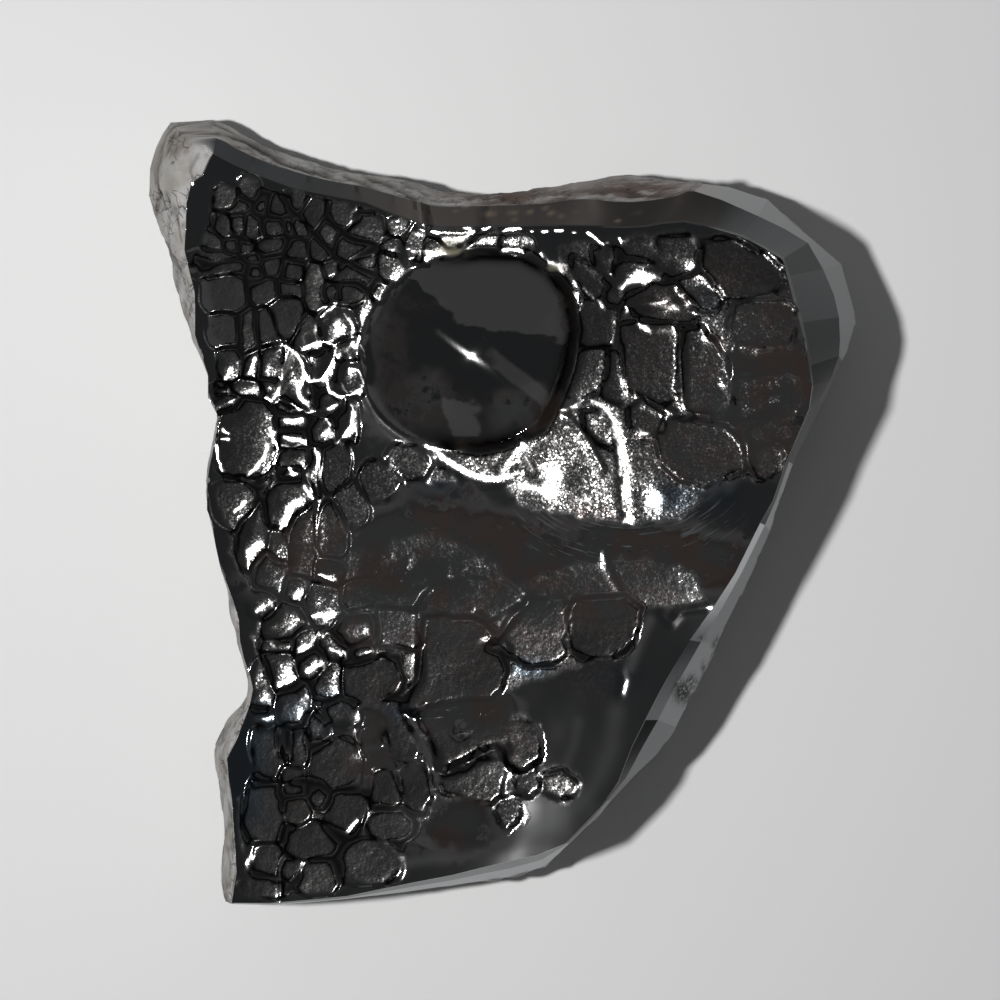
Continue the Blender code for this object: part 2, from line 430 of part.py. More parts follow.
def skin_members(u, v):
    """Each cell and plate of the skin: its plan distance, its middle and its style."""
    for style, plates in (RIGHT_PLATES, MIDDLE_PLATES, COLLAR_PLATES, KIDNEY):
        for plate in plates:
            middle = np.mean(plate, axis=0)
            yield distance_to_outline(u, v, plate), middle, own_style(style, middle)
    for style, cells in (CROWDED_CELLS, ROUND_CELLS, LOW_CELLS, FLAT_CELLS):
        for cell in cells:
            yield distance_to_cell(u, v, cell), cell[:2], own_style(style, cell[:2])


def skin_depth(u, v):
    """How far inside its cell or plate each spot lies, in plan steps, its offset and its style."""
    u, v = (u + WAVER * (ripple(u, v, 30, 1) + 0.5 * ripple(u, v, 13, 2)),
            v + WAVER * (ripple(u, v, 30, 3) + 0.5 * ripple(u, v, 13, 4)))
    first = np.full(u.shape, 60.0)
    second = np.full(u.shape, 60.0)
    right, up = np.zeros(u.shape), np.zeros(u.shape)
    styles = np.zeros((7, *u.shape))
    for distance, middle, style in skin_members(u, v):
        closer = distance < first
        second = np.where(closer, first, np.minimum(second, distance))
        right = np.where(closer, u - middle[0], right)
        up = np.where(closer, middle[1] - v, up)
        styles[:, closer] = np.array(style)[:, None]
        first = np.where(closer, distance, first)
    return np.minimum((second - first) / 2, styles[4] - first), right, up, styles


def skin_relief(u, v):
    """Height of the cells and plates, which meet along furrows."""
    inward, right, up, styles = skin_depth(u, v)
    slope, reach, furrow, half_width, _, tip_right, tip_up = styles
    reach, half_width = np.maximum(reach, 1.0), np.maximum(half_width, 1.0)
    crown = slope * reach * GRID / 2 * bulge(inward / reach)
    tip = GRID * (tip_right * right + tip_up * up)
    return crown + furrow * smooth_step(inward / half_width) + tip * smooth_step(inward / STEP_WIDTH)


def dome_waves(turn):
    """The round waves, by turn about the dome's middle, that its outline is made up of."""
    turns = [np.ones(np.shape(turn))]
    for number in range(1, DOME_WAVES + 1):
        turns += [np.cos(number * turn), np.sin(number * turn)]
    return np.stack(turns, axis=-1)


def dome_relief(u, v):
    """Height of the polished dome, with a moat where it meets the skin."""
    across, down = np.transpose(DOME_OUTLINE) - np.reshape(DOME_MIDDLE, (2, 1))
    waves = dome_waves(np.arctan2(down, across))
    strengths = np.linalg.lstsq(waves, np.hypot(across, down), rcond=None)[0]
    across, down = u - DOME_MIDDLE[0], v - DOME_MIDDLE[1]
    out = np.hypot(across, down) / (dome_waves(np.arctan2(down, across)) @ strengths)
    cap = DOME_HEIGHT * (1.0 - out * out) * smooth_step((1.0 - out) / DOME_FOOT)
    moat = MOAT_DEPTH * np.exp(-((out - MOAT_PLACE) / MOAT_WIDTH) ** 2)
    return cap - moat


def face_height(u, v):
    """Height of the worked face in millimetres."""
    height = FACE_SHEET(u, v) + dome_relief(u, v)
    from_dome = smooth_step(distance_to_outline(u, v, DOME_OUTLINE) / DOME_BORDER + 0.5)
    height = height + skin_relief(u, v) * from_dome
    for seed, (size, rise) in enumerate(SWELLS, 7):
        height = height + rise * ripple(u, v, size, seed) * from_dome
    for width, rise, points in RIDGES:
        height = height + rise * np.exp(-(distance_to_line(u, v, points) / width) ** 2)
    for width, depth, points in GROOVES:
        height = height - depth * np.exp(-(distance_to_line(u, v, points) / width) ** 2)
    for cu, cv, width, length, depth in HOLLOWS:
        out = ((u - cu) / (width / 2)) ** 2 + ((v - cv) / (length / 2)) ** 2
        height = height - depth * np.exp(-out ** 2)
    for cu, cv, width, length, tip_right, tip_up in TIPPED_PLACES:
        out = ((u - cu) / (width / 2)) ** 2 + ((v - cv) / (length / 2)) ** 2
        height = height + GRID * (tip_right * (u - cu) + tip_up * (cv - v)) * np.exp(-out)
    return height


def rim_stations(spacing):
    """Points along the rim, each with the side numbers it lies between and its share of the way."""
    corner = {side[0]: number for number, side in enumerate(SIDES)}
    lengths = [0.0]
    for (au, av), (bu, bv) in zip(RIM, RIM[1:] + RIM[:1]):
        lengths.append(lengths[-1] + math.hypot(bu - au, bv - av))
    marks = [lengths[RIM.index(side[0])] for side in SIDES] + [lengths[-1]]
    stations = []
    for index, (start, end) in enumerate(zip(RIM, RIM[1:] + RIM[:1])):
        steps = max(1, round((lengths[index + 1] - lengths[index]) * GRID / spacing))
        for step in range(steps):
            share = step / steps
            along = lengths[index] + share * (lengths[index + 1] - lengths[index])
            spot = (start[0] + share * (end[0] - start[0]), start[1] + share * (end[1] - start[1]))
            number = corner.get(start, None) if step == 0 else None
            if number is None:
                number = max(n for n in range(len(SIDES)) if marks[n] <= along + 1e-6)
            part = (along - marks[number]) / (marks[number + 1] - marks[number])
            stations.append((spot, number, part))
    return stations


def between(number, part, line):
    """Place on a side line between two of the given sides: straight if worked, curved if natural."""
    before, start, end, after = (np.array(SIDES[(number + step) % len(SIDES)][line])
                                 for step in (-1, 0, 1, 2))
    straight = start + part * (end - start)
    first, last = NATURAL_SIDES
    if last <= number < first:
        return straight
    bend = (1.0 - part) * (2 * start - before - end) + part * (2 * end - start - after)
    return straight + 0.5 * part * (1.0 - part) * bend


def is_natural(number, level):
    """Whether the band under this ring, after this side, is left rough."""
    if level >= 2:
        return True
    first, last = GROUND_BANDS
    if level == 0 and first <= number < last:
        return False
    first, last = NATURAL_SIDES
    return number >= first or number < last


def side_rings(stations, rim_heights):
    """Rings of (x, y, z) in millimetres from the rim down to the edge of the underside."""
    rim, edge, wide, low, base = [], [], [], [], []
    for (spot, number, part), height in zip(stations, rim_heights):
        rim.append((*from_plan(*spot, height), height))
        below = between(number, part, 1)
        edge.append((*from_plan(*below), min(below[2], height - EDGE_DROP)))
        out = between(number, part, 2)
        x, y = from_plan(*out)
        wide.append((x, y, out[2]))
        low.append((x * LOW_SHRINK, y * LOW_SHRINK, LOW_LEVEL))
        base.append((x * BASE_SHRINK, y * BASE_SHRINK, 0.0))
    return [np.array(ring) for ring in (rim, edge, wide, low, base)]


def side_row(rings, level, share, natural):
    """One row of points between two rings: straight on worked sides, curved on natural ones."""
    above, upper, lower, below = (rings[min(max(level + step, 0), 4)] for step in (-1, 0, 1, 2))
    straight = upper + share * (lower - upper)
    curved = straight + 0.5 * share * (1.0 - share) * (
        (1.0 - share) * (2 * upper - above - lower) + share * (2 * lower - upper - below))
    return np.where(np.array(natural)[:, None], curved, straight)


def side_relief(point):
    """Relief of a natural side in millimetres: broad swells with broken ledges on them."""
    swell = noise.fractal(point * SWELL_PITCH, 1.0, 2.0, 2)
    chips = noise.ridged_multi_fractal(point * CHIP_PITCH, 1.0, 2.1, 3, 1.0, 2.0) - 1.0
    return SIDE_SWELL * swell + SIDE_CHIPS * chips


def roughen(row, level, share, natural):
    """Push the natural points of a row out and in: gently in the upper bands, fully lower down."""
    strength = (share, 1.0, 1.0 + share, 2.0 - share)[level] * UPPER_CALM
    points = []
    for place, rough in zip(row, natural):
        point = Vector(place)
        if rough:
            outward = Vector((point.x, point.y, 0.0)).normalized()
            point += outward * strength * side_relief(point)
        points.append(point)
    return points


def build_stone():
    """Loft the sides, lay the worked face into the rim and close the underside."""
    stations = rim_stations(SIDE_SPACING)
    rim_u = np.array([spot[0] for spot, _, _ in stations])
    rim_v = np.array([spot[1] for spot, _, _ in stations])
    rings = side_rings(stations, face_height(rim_u, rim_v))

    body = bmesh.new()
    rows = [[body.verts.new(point) for point in rings[0]]]
    for level, (upper, lower) in enumerate(zip(rings, rings[1:])):
        natural = [is_natural(number, level) for _, number, _ in stations]
        steps = max(1, round(np.linalg.norm(upper - lower, axis=1).max() / SIDE_ROW))
        for step in range(1, steps + 1):
            row = side_row(rings, level, step / steps, natural)
            rows.append([body.verts.new(point)
                         for point in roughen(row, level, step / steps, natural)])
    for vert, place in zip(rows[-1], rings[-1]):
        vert.co = place
    count = len(stations)
    for upper, lower in zip(rows, rows[1:]):
        for index in range(count):
            after = (index + 1) % count
            body.faces.new((upper[index], upper[after], lower[after], lower[index]))

    lay_face(body, rows[0], stations)
    close_underside(body, rows[-1])
    bmesh.ops.triangulate(body, faces=[face for face in body.faces if len(face.verts) > 3])
    bmesh.ops.recalc_face_normals(body, faces=body.faces)
    if body.calc_volume(signed=True) < 0:
        bmesh.ops.reverse_faces(body, faces=body.faces)
    bmesh.ops.scale(body, vec=(0.001, 0.001, 0.001), verts=body.verts)
    return body


def lattice_points():
    """Plan points of a triangular lattice inside the rim, closer together on the small cells."""
    step = FINE_SPACING / GRID
    rows = int(900 / (step * math.sqrt(3) / 2))
    grid_v = 100 + np.arange(rows) * step * math.sqrt(3) / 2
    points = []
    for row, v in enumerate(grid_v):
        u = 140 + np.arange(int(740 / step)) * step + (row % 2) * step / 2
        fine = (u < 372) | ((v < 262) & (u < 640))
        sparse = (row % 2 == 0) & (np.arange(len(u)) % 2 == (row // 2) % 2)
        points += [(uu, v) for uu in u[fine | sparse]]
    spots = np.array(points)
    inside = distance_to_outline(spots[:, 0], spots[:, 1], RIM) < -step * RIM_CLEARANCE
    return spots[inside]


def lay_face(body, rim_row, stations):
    """Fill the rim with the worked face."""
    rim_spots = [Vector(spot) for spot, _, _ in stations]
    inner = lattice_points()
    count = len(rim_spots)
    ring = [(index, (index + 1) % count) for index in range(count)]
    spots = rim_spots + [Vector((u, v)) for u, v in inner]
    points, _, triangles, origins, _, _ = delaunay_2d_cdt(spots, ring, [], 1, 1e-4)
    heights = face_height(inner[:, 0], inner[:, 1])
    verts = []
    for point, sources in zip(points, origins):
        if sources[0] < count:
            verts.append(rim_row[sources[0]])
        else:
            height = heights[sources[0] - count]
            verts.append(body.verts.new((*from_plan(point.x, point.y, height), height)))
    for triangle in triangles:
        body.faces.new([verts[corner] for corner in triangle])


def close_underside(body, ring):
    """Close the flat underside."""
    spots = [Vector((vert.co.x, vert.co.y)) for vert in ring]
    count = len(spots)
    edges = [(index, (index + 1) % count) for index in range(count)]
    _, _, triangles, origins, _, _ = delaunay_2d_cdt(spots, edges, [], 1, 1e-4)
    for triangle in triangles:
        body.faces.new([ring[origins[corner][0]] for corner in triangle])


def stone_material():
    """Dark metallic hematite."""
    material = bpy.data.materials.new("hematite")
    material.use_nodes = True
    shader = material.node_tree.nodes["Principled BSDF"]
    shader.inputs["Base Color"].default_value = STONE_COLOUR
    shader.inputs["Metallic"].default_value = 1.0
    shader.inputs["Roughness"].default_value = 0.3
    return material


FACE_SHEET = leaning_sheet(FACE_LEANS, FACE_HEIGHTS)

for leftover in list(bpy.data.objects):
    bpy.data.objects.remove(leftover, do_unlink=True)

collection = bpy.data.collections.new("hematite")
bpy.context.scene.collection.children.link(collection)
mesh = bpy.data.meshes.new("hematite_stone")
stone = build_stone()
stone.to_mesh(mesh)
stone.free()
mesh.materials.append(stone_material())
stone_object = bpy.data.objects.new("hematite_stone", mesh)
collection.objects.link(stone_object)
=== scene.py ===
"""The visual model of a polished kidney-ore hematite, lying worked face up on a pale floor."""
import math
import random

import bpy
import numpy as np
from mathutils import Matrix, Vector, noise
from mathutils.geometry import delaunay_2d_cdt


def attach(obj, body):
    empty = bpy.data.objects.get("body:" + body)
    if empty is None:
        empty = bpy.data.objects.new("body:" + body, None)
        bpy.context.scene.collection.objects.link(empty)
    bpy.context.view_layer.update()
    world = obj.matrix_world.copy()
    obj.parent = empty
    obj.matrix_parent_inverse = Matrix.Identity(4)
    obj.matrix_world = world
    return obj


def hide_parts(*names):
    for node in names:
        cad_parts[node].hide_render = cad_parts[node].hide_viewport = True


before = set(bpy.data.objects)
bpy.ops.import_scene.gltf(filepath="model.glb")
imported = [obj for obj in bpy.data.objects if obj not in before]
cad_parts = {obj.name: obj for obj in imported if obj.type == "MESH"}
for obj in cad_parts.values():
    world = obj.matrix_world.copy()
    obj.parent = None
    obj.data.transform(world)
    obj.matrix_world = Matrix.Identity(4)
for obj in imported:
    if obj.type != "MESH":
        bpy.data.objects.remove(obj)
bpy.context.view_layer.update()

# A plan position (u, v) is in tenths of a millimetre, u to the right and v down the drawing sheet.
# Heights and reliefs are in millimetres above the table.
GRID = 0.1                  # mm in one step of the plan
EYE_LEVEL = 480.0           # mm, height from which the plan is drawn
PLAN_LEVEL = 30.0           # mm, height at which the plan is true to size
PLAN_MIDDLE = (500, 500)    # plan position straight below the eye
CENTRE_SHIFT = (0.107, 0.938)  # mm, brings the middle of the footprint to the origin
FINE_SPACING = 0.17         # mm between points of the face where the skin is small-celled
SIDE_SPACING = 0.5          # mm between points along the sides
SIDE_ROW = 0.9              # mm between the rows of points down the sides
LOW_LEVEL = 4.0             # mm, height of the edge where the side turns under
LOW_SHRINK = 0.965          # share of the outline at that edge
BASE_SHRINK = 0.87          # share of the outline at the flat underside
SIDE_SWELL = 0.9            # mm, broad relief of the natural sides
SIDE_CHIPS = 0.35           # mm, broken ledges on the natural sides
UPPER_CALM = 0.45           # share of that relief just under the face
SWELL_PITCH = 0.11          # swells in 1 mm of a natural side
CHIP_PITCH = 0.23           # ledges in 1 mm of a natural side
EDGE_DROP = 0.6             # mm, least drop from the rim to the edge below it
RIM_CLEARANCE = 0.6         # share of a grid step that stays free inside the rim
DOME_HEIGHT = 2.9           # mm
DOME_MIDDLE = (468, 351)
DOME_WAVES = 2              # round waves that its outline is made up of
DOME_BORDER = 8.0           # plan steps over which the skin fades out at the dome
DOME_FOOT = 0.02            # share of the dome's radius in which it meets the moat
MOAT_DEPTH = 0.12           # mm
MOAT_PLACE = 1.02           # distance of the moat, in radii of the dome
MOAT_WIDTH = 0.05           # its width, in the same way
DISH_TIP = 0.15             # rise of the worked face in 1 mm to the right
DISH_RADIUS = 450.0         # mm, radius of the very shallow dish the worked face follows
LEAN_REACH = 100.0          # plan steps over which the leans from that dish run into each other
LEAN_CALM = 0.002           # how much a calm face counts against the wanted leans
HEIGHT_PULL = 0.01          # how much a wanted height counts against a wanted lean
WAVER = 2.6                 # plan steps by which the cells' edges waver
CELL_SQUARENESS = 2.6       # 2 makes the oval cells round, more makes them squarer
SWELLS = ((45.0, 0.035), (20.0, 0.010))  # plan steps from swell to swell, mm, all over the skin
STEP_WIDTH = 1.3            # plan steps in which the edge of a tipped cell stands up from a furrow
SLOPE_VARIETY = 0.45        # share by which the slope of a cell's edge differs from its family's
TIP_VARIETY = 0.035         # by which a cell's tips differ from its family's

# Tints of the skin: plan position, width, height and strength
RUST = [(762, 325, 70, 44, 0.6), (766, 400, 66, 44, 0.8), (700, 448, 80, 56, 0.6),
        (767, 462, 30, 30, 0.7), (648, 360, 30, 60, 0.3), (545, 530, 50, 24, 0.8),
        (512, 525, 60, 30, 0.9), (600, 520, 60, 30, 0.5), (730, 270, 60, 40, 0.4),
        (660, 310, 60, 40, 0.3), (480, 660, 60, 40, 0.25), (540, 640, 60, 50, 0.3),
        (605, 625, 60, 40, 0.3), (450, 735, 50, 40, 0.35), (520, 740, 60, 30, 0.35),
        (640, 560, 40, 30, 0.4), (300, 790, 80, 60, 0.2), (380, 690, 50, 30, 0.3),
        (590, 680, 60, 30, 0.5), (450, 810, 60, 30, 0.4)]
CLAY = [(453, 249, 24, 17, 0.9), (551, 269, 17, 10, 0.8), (424, 416, 14, 12, 0.25)]
BLUE = [(675, 496, 40, 30, 0.7), (722, 496, 50, 34, 0.7), (530, 668, 40, 18, 0.8),
        (243, 765, 40, 110, 1.0), (280, 720, 80, 40, 0.6), (640, 545, 60, 26, 0.5),
        (400, 712, 60, 16, 0.7), (620, 680, 40, 26, 0.5), (440, 492, 50, 18, 0.8),
        (330, 700, 60, 24, 0.4), (706, 300, 20, 30, 0.3), (448, 735, 16, 40, 0.3)]

# How far the grains of the satin skin lean, field by field: an outline and a slope
SPARKLE_FIELDS = [
    ([(180, 140), (372, 140), (372, 540), (330, 700), (180, 700)], 0.10),
    ([(180, 140), (372, 140), (372, 300), (300, 340), (180, 340)], 0.04),
    ([(560, 230), (820, 230), (820, 500), (660, 500), (560, 330)], 0.10),
    ([(430, 440), (505, 432), (535, 425), (560, 405), (600, 398), (630, 408), (650, 440),
      (700, 480), (695, 505), (680, 520), (640, 525), (600, 520), (520, 500), (470, 480)], 0.11),
    ([(340, 535), (740, 535), (740, 630), (640, 780), (340, 800)], 0.05),
    ([(230, 700), (400, 700), (440, 780), (400, 900), (230, 900)], 0.04),
]

# Painted shade and painted reflection of the ground facets, from one side number up to the next: how
# much the upper and the lower facet reflect, set facet by facet to how light or dark each one looks
FACET_PAINTED_SHADES = [(0, 7, 0.13, 0.20), (7, 15, 0.095, 0.20), (15, 17, 0.125, 0.35), (17, 19, 0.143, 0.30),
               (19, 20, 0.089, 0.30), (20, 22, 0.117, 0.28), (22, 24, 0.080, 0.28),
               (24, 26, 0.040, 0.08), (26, 27, 0.050, 0.052), (27, 29, 0.100, 0.40),
               (29, 32, 0.660, 0.28), (32, 34, 0.210, 0.32), (34, 37, 0.013, 0.25),
               (37, 39, 0.080, 0.41), (39, 48, 0.330, 0.60)]

# Sunken dark veins of the broken sides: width in plan steps, strength, points
VEINS = [
    (2.2, 1.0, [(233, 137), (249, 142), (265, 151), (278, 160), (292, 166), (313, 171), (329, 176)]),
    (3.2, 1.0, [(256, 146), (268, 153), (281, 161)]),
    (1.1, 0.9, [(166, 141), (176, 136), (185, 132)]),
    (1.1, 0.9, [(157, 178), (158, 190), (160, 196)]),
    (1.1, 0.8, [(166, 195), (169, 202)]),
    (1.0, 0.8, [(169, 250), (172, 256), (175, 258), (180, 270)]),
    (1.2, 0.8, [(214, 132), (221, 133)]),
    (1.0, 0.5, [(160, 158), (158, 172)]),
    (1.0, 0.6, [(175, 215), (179, 226), (181, 240)]),
    (2.0, 0.9, [(367, 178), (380, 181), (394, 186)]),
    (2.0, 0.8, [(345, 176), (358, 181), (372, 187)]),
    (2.2, 0.9, [(399, 190), (412, 196), (423, 203)]),
    (1.6, 0.6, [(470, 197), (500, 193), (520, 190), (548, 193)]),
    (1.6, 0.7, [(590, 192), (620, 190), (650, 195), (680, 196)]),
    (1.4, 0.6, [(480, 204), (505, 201), (530, 204)]),
]
# Pale worn streaks of the broken sides, in the same way
PALE_STREAKS = [
    (1.8, 0.9, [(578, 198), (597, 196), (618, 200), (650, 204), (674, 201), (695, 193)]),
    (1.6, 0.7, [(397, 194), (421, 202), (442, 205), (479, 200)]),
    (1.6, 0.6, [(300, 163), (330, 170), (360, 176)]), (4.0, 0.8, [(376, 183), (400, 187), (428, 196)]),
    (1.4, 0.5, [(340, 181), (370, 186), (395, 193)]),
    (1.6, 0.5, [(240, 145), (262, 157), (285, 168)]),
]
# Red-brown places of the broken sides: plan position, width, height and strength
RED_PLACES = [(452, 196, 40, 14, 0.6), (180, 150, 30, 30, 0.3), (505, 195, 96, 22, 1.0), (560, 196, 60, 20, 0.8),
              (635, 191, 110, 22, 1.0), (176, 152, 12, 6, 0.6), (157, 206, 9, 16, 0.5),
              (395, 187, 60, 10, 0.5), (183, 124, 5, 5, 0.9)]
# Ochre specks of the ground top band, in the same way
SPECKS = [(466, 206, 5, 4, 0.8), (490, 214, 8, 5, 0.9), (513, 213, 7, 4, 0.8), (514, 220, 4, 3, 0.7),
          (529, 212, 7, 4, 0.9), (551, 213, 7, 4, 0.9), (562, 216, 5, 3, 0.8), (618, 221, 5, 3, 0.9),
          (637, 213, 5, 4, 0.7), (455, 211, 4, 3, 0.6), (545, 208, 4, 3, 0.6), (578, 211, 4, 3, 0.5)]
# Dark chips of the ground facets, in the same way
CHIPS = [(683, 692, 17, 22, 1.0), (691, 680, 8, 12, 0.9), (696, 683, 6, 9, 0.9),
         (704, 670, 5, 16, 0.8), (716, 643, 6, 12, 0.9), (702, 639, 6, 4, 0.7)]
# Painted reflection: grey hazy bands laid on the mirror polish where it reflects something lighter:
# width in plan steps, strength, points
PAINTED_REFLECTION_BANDS = [
    (9.0, 0.2, [(616, 712), (612, 745), (600, 776), (583, 800), (547, 822)]),
    (5.5, 0.3, [(547, 822), (500, 843), (455, 856), (411, 862)]),
    (5.0, 0.15, [(578, 722), (574, 745), (566, 765)]),
    (5.0, 0.35, [(650, 620), (640, 640), (630, 668)]),
]
# Curved scratches of the last coarse polish, painted light and bluish as the glints they catch: plan
# position, width, height and strength
SCRATCH_GLINT_PLACES = [(600, 542, 170, 46, 1.0), (690, 522, 80, 44, 0.8), (545, 520, 60, 50, 0.6),
             (645, 575, 80, 40, 0.4)]
SCRATCH_MIDDLE = (0.0130, 0.0111)  # m, about which they curve

# Painted highlight: line on the dome where its base keeps a little colour, so that the smeared highlight
# of its polish shows only along it, in the same way
PAINTED_HIGHLIGHT_LINE = [(2.4, 1.0, [(438, 331), (471, 357), (498, 379), (520, 396)])]

# Brown stains of the dome: plan position, width, height and strength
STAINS = [(388, 345, 34, 120, 1.0), (400, 400, 60, 60, 0.8), (450, 418, 90, 44, 0.7),
          (545, 410, 40, 40, 0.7), (556, 330, 30, 60, 0.5), (420, 300, 34, 24, 0.6)]

# Tipped places too fine for the solid: plan position, width, height, and the rise in 1 mm to the
# right and in 1 mm up the drawing
FINE_TIPS = [(640, 276, 44, 16, -0.23, -0.02),
             (662, 306, 46, 12, -0.22, 0.13), (550, 476, 30, 20, -0.06, 0.02),
             (655, 497, 24, 20, -0.12, -0.04), (644, 327, 16, 8, -0.22, -0.04),
             (704, 339, 14, 12, -0.14, -0.08), (722, 385, 10, 14, -0.12, -0.08)]

# Painted glints: short lines where the skin's shading normal is turned half way between lamp and eye,
# so that the lamp shows a highlight there: width in plan steps, strength, points
PAINTED_GLINT_LINES = [
    (3.3, 1.0, [(424, 443), (434, 450), (447, 459), (460, 468), (472, 475), (488, 478), (500, 478),
                (509, 475)]),
    (4.9, 0.5, [(512, 452), (524, 445)]), (3.3, 0.8, [(520, 440), (527, 458), (532, 470)]),
    (5.3, 0.9, [(522, 486), (536, 489), (552, 494)]), (4.9, 0.5, [(546, 468), (556, 478)]),
    (2.5, 1.0, [(560, 411), (565, 410)]), (2.5, 1.0, [(573, 406), (578, 404)]),
    (2.6, 0.9, [(592, 402), (602, 405), (610, 416), (614, 428), (618, 445), (620, 462), (621, 475)]),
    (2.2, 0.9, [(622, 486), (623, 498), (625, 510)]), (2.5, 0.9, [(622, 523), (628, 519)]),
    (3.0, 0.9, [(640, 432), (646, 434)]), (4.5, 0.7, [(648, 505), (660, 500)]),
    (3.3, 0.6, [(582, 501), (589, 500)]), (2.1, 1.0, [(235, 511), (241, 506), (246, 502)]),
    (4.1, 1.0, [(280, 528), (285, 521), (291, 512)]), (3.3, 0.6, [(293, 509), (297, 500)]),
    (2.0, 1.0, [(304, 486), (308, 492), (312, 499)]), (1.6, 0.9, [(307, 478), (312, 492)]),
    (3.8, 0.8, [(247, 552), (254, 547), (260, 543)]), (1.5, 0.9, [(248, 556), (255, 551), (262, 545)]),
    (2.8, 0.6, [(271, 603), (277, 611)]), (2.8, 0.7, [(293, 600), (298, 594)]),
    (2.3, 0.6, [(302, 590), (306, 597)]), (1.8, 1.0, [(318, 574), (325, 577), (334, 580)]),
    (2.6, 0.9, [(257, 611), (263, 606)]), (3.3, 1.0, [(313, 617), (322, 615), (333, 615)]),
    (2.3, 0.9, [(315, 638), (318, 633)]), (2.5, 0.55, [(280, 637), (288, 630), (296, 625)]),
    (3.0, 1.0, [(299, 650), (305, 647)]), (2.1, 0.7, [(270, 643), (275, 646)]),
    (2.0, 0.9, [(331, 649), (336, 651), (341, 654)]), (2.6, 1.0, [(307, 671), (313, 668), (321, 664)]),
    (2.6, 1.0, [(279, 686), (285, 682), (294, 678)]), (2.8, 0.8, [(262, 700), (266, 697)]),
    (2.3, 1.0, [(224, 380), (228, 374), (232, 368)]), (2.5, 1.0, [(250, 372), (252, 365), (255, 358)]),
    (3.0, 0.6, [(267, 371), (269, 364)]), (1.8, 1.0, [(280, 343), (288, 347), (296, 355)]),
    (3.8, 0.75, [(291, 350), (290, 358), (286, 368), (283, 378), (280, 392), (275, 400)]),
    (2.8, 1.0, [(265, 398), (271, 402)]),
    (2.0, 1.0, [(301, 350), (307, 347), (314, 343), (324, 342), (333, 344), (337, 348)]),
    (2.3, 1.0, [(336, 350), (332, 362), (327, 372), (323, 379), (317, 381), (309, 381), (305, 374),
                (301, 362), (297, 355)]),
    (3.8, 0.7, [(297, 385), (298, 392), (302, 398), (308, 402)]),
    (1.8, 0.9, [(291, 403), (298, 409), (306, 412), (314, 412)]),
    (3.6, 1.0, [(285, 421), (294, 420), (301, 420)]), (2.8, 1.0, [(284, 437), (293, 440), (305, 441)]),
    (1.6, 0.9, [(281, 445), (292, 446), (305, 444)]), (3.1, 0.9, [(328, 409), (332, 407), (336, 405)]),
    (2.0, 1.0, [(326, 380), (330, 392), (340, 396), (350, 395), (360, 391)]),
    (1.6, 0.8, [(343, 383), (345, 390), (348, 394)]),
    (2.0, 0.9, [(351, 368), (358, 370), (361, 378), (364, 383)]),
    (2.3, 0.9, [(361, 345), (364, 352), (366, 362)]), (2.0, 0.9, [(354, 348), (358, 342), (360, 336)]),
    (3.3, 0.6, [(345, 350), (352, 345)]),
    (2.3, 0.9, [(337, 443), (343, 437), (350, 429), (353, 415), (352, 405)]),
    (1.6, 0.9, [(325, 420), (331, 425)]), (2.3, 0.7, [(317, 341), (316, 333), (318, 322)]),
    (1.8, 1.0, [(320, 317), (328, 311), (336, 305)]), (4.1, 0.75, [(337, 323), (339, 330)]),
    (1.6, 0.8, [(344, 313), (350, 321), (353, 330), (352, 337)]), (3.6, 0.6, [(303, 340), (306, 345)]),
    (2.8, 1.0, [(222, 430), (228, 433)]), (2.3, 1.0, [(222, 439), (228, 440)]),
    (2.1, 1.0, [(217, 446), (218, 460), (223, 472)]),
    (2.1, 1.0, [(270, 427), (273, 437), (277, 447), (275, 460), (268, 470), (262, 474)]),
    (3.1, 0.9, [(267, 445), (265, 458), (257, 466), (248, 475)]),
    (1.5, 0.6, [(256, 478), (250, 482), (243, 483)]), (2.8, 1.0, [(289, 469), (294, 474)]),
    (2.8, 0.9, [(315, 449), (318, 458), (320, 470), (319, 480)]), (1.8, 0.9, [(306, 474), (308, 482)]),
    (2.1, 0.7, [(298, 462), (305, 466)]), (2.6, 0.5, [(322, 436), (325, 433)]),
    (2.8, 0.6, [(240, 394), (250, 391), (257, 388)]), (2.3, 1.0, [(422, 225), (424, 226)]),
    (2.5, 1.0, [(432, 232), (437, 234)]), (2.6, 1.0, [(465, 228), (471, 229)]),
    (1.5, 0.9, [(454, 239), (464, 237), (475, 231)]), (2.5, 1.0, [(483, 228), (487, 228)]),
    (2.0, 1.0, [(503, 231), (512, 229), (520, 229)]), (2.0, 0.9, [(531, 231), (533, 231)]),
    (2.5, 1.0, [(542, 232), (547, 232)]), (2.6, 1.0, [(556, 231), (562, 231)]),
    (2.0, 0.9, [(573, 232), (575, 232)]), (2.3, 1.0, [(588, 233), (596, 239), (603, 244)]),
    (2.1, 0.9, [(607, 242), (609, 242)]), (2.5, 1.0, [(620, 239), (621, 243)]),
    (3.0, 1.0, [(503, 250), (512, 250), (523, 253)]), (1.6, 0.6, [(390, 248), (395, 249)]),
    (1.6, 0.8, [(408, 249), (416, 252)]), (2.0, 1.0, [(424, 251), (430, 254), (437, 254)]),
    (2.5, 0.9, [(540, 253), (548, 262), (556, 266), (563, 273)]), (2.5, 0.6, [(565, 265), (568, 267)]),
    (2.8, 0.8, [(584, 289), (592, 297), (600, 302)]), (2.5, 0.7, [(596, 272), (602, 278)]),
    (2.5, 1.0, [(601, 303), (603, 308)]), (2.5, 1.0, [(625, 306), (628, 313)]),
    (2.3, 0.8, [(574, 292), (576, 299)]), (4.1, 1.0, [(622, 288), (627, 282), (640, 278), (655, 276)]),
    (2.6, 1.0, [(638, 324), (643, 327), (650, 331)]), (2.5, 0.6, [(656, 331), (672, 331)]),
    (3.3, 0.7, [(652, 306), (665, 306), (680, 309)]), (2.0, 0.7, [(370, 320), (367, 332)]),
    (1.8, 0.6, [(386, 296), (380, 303)]), (2.1, 1.0, [(190, 181), (192, 184)]),
]
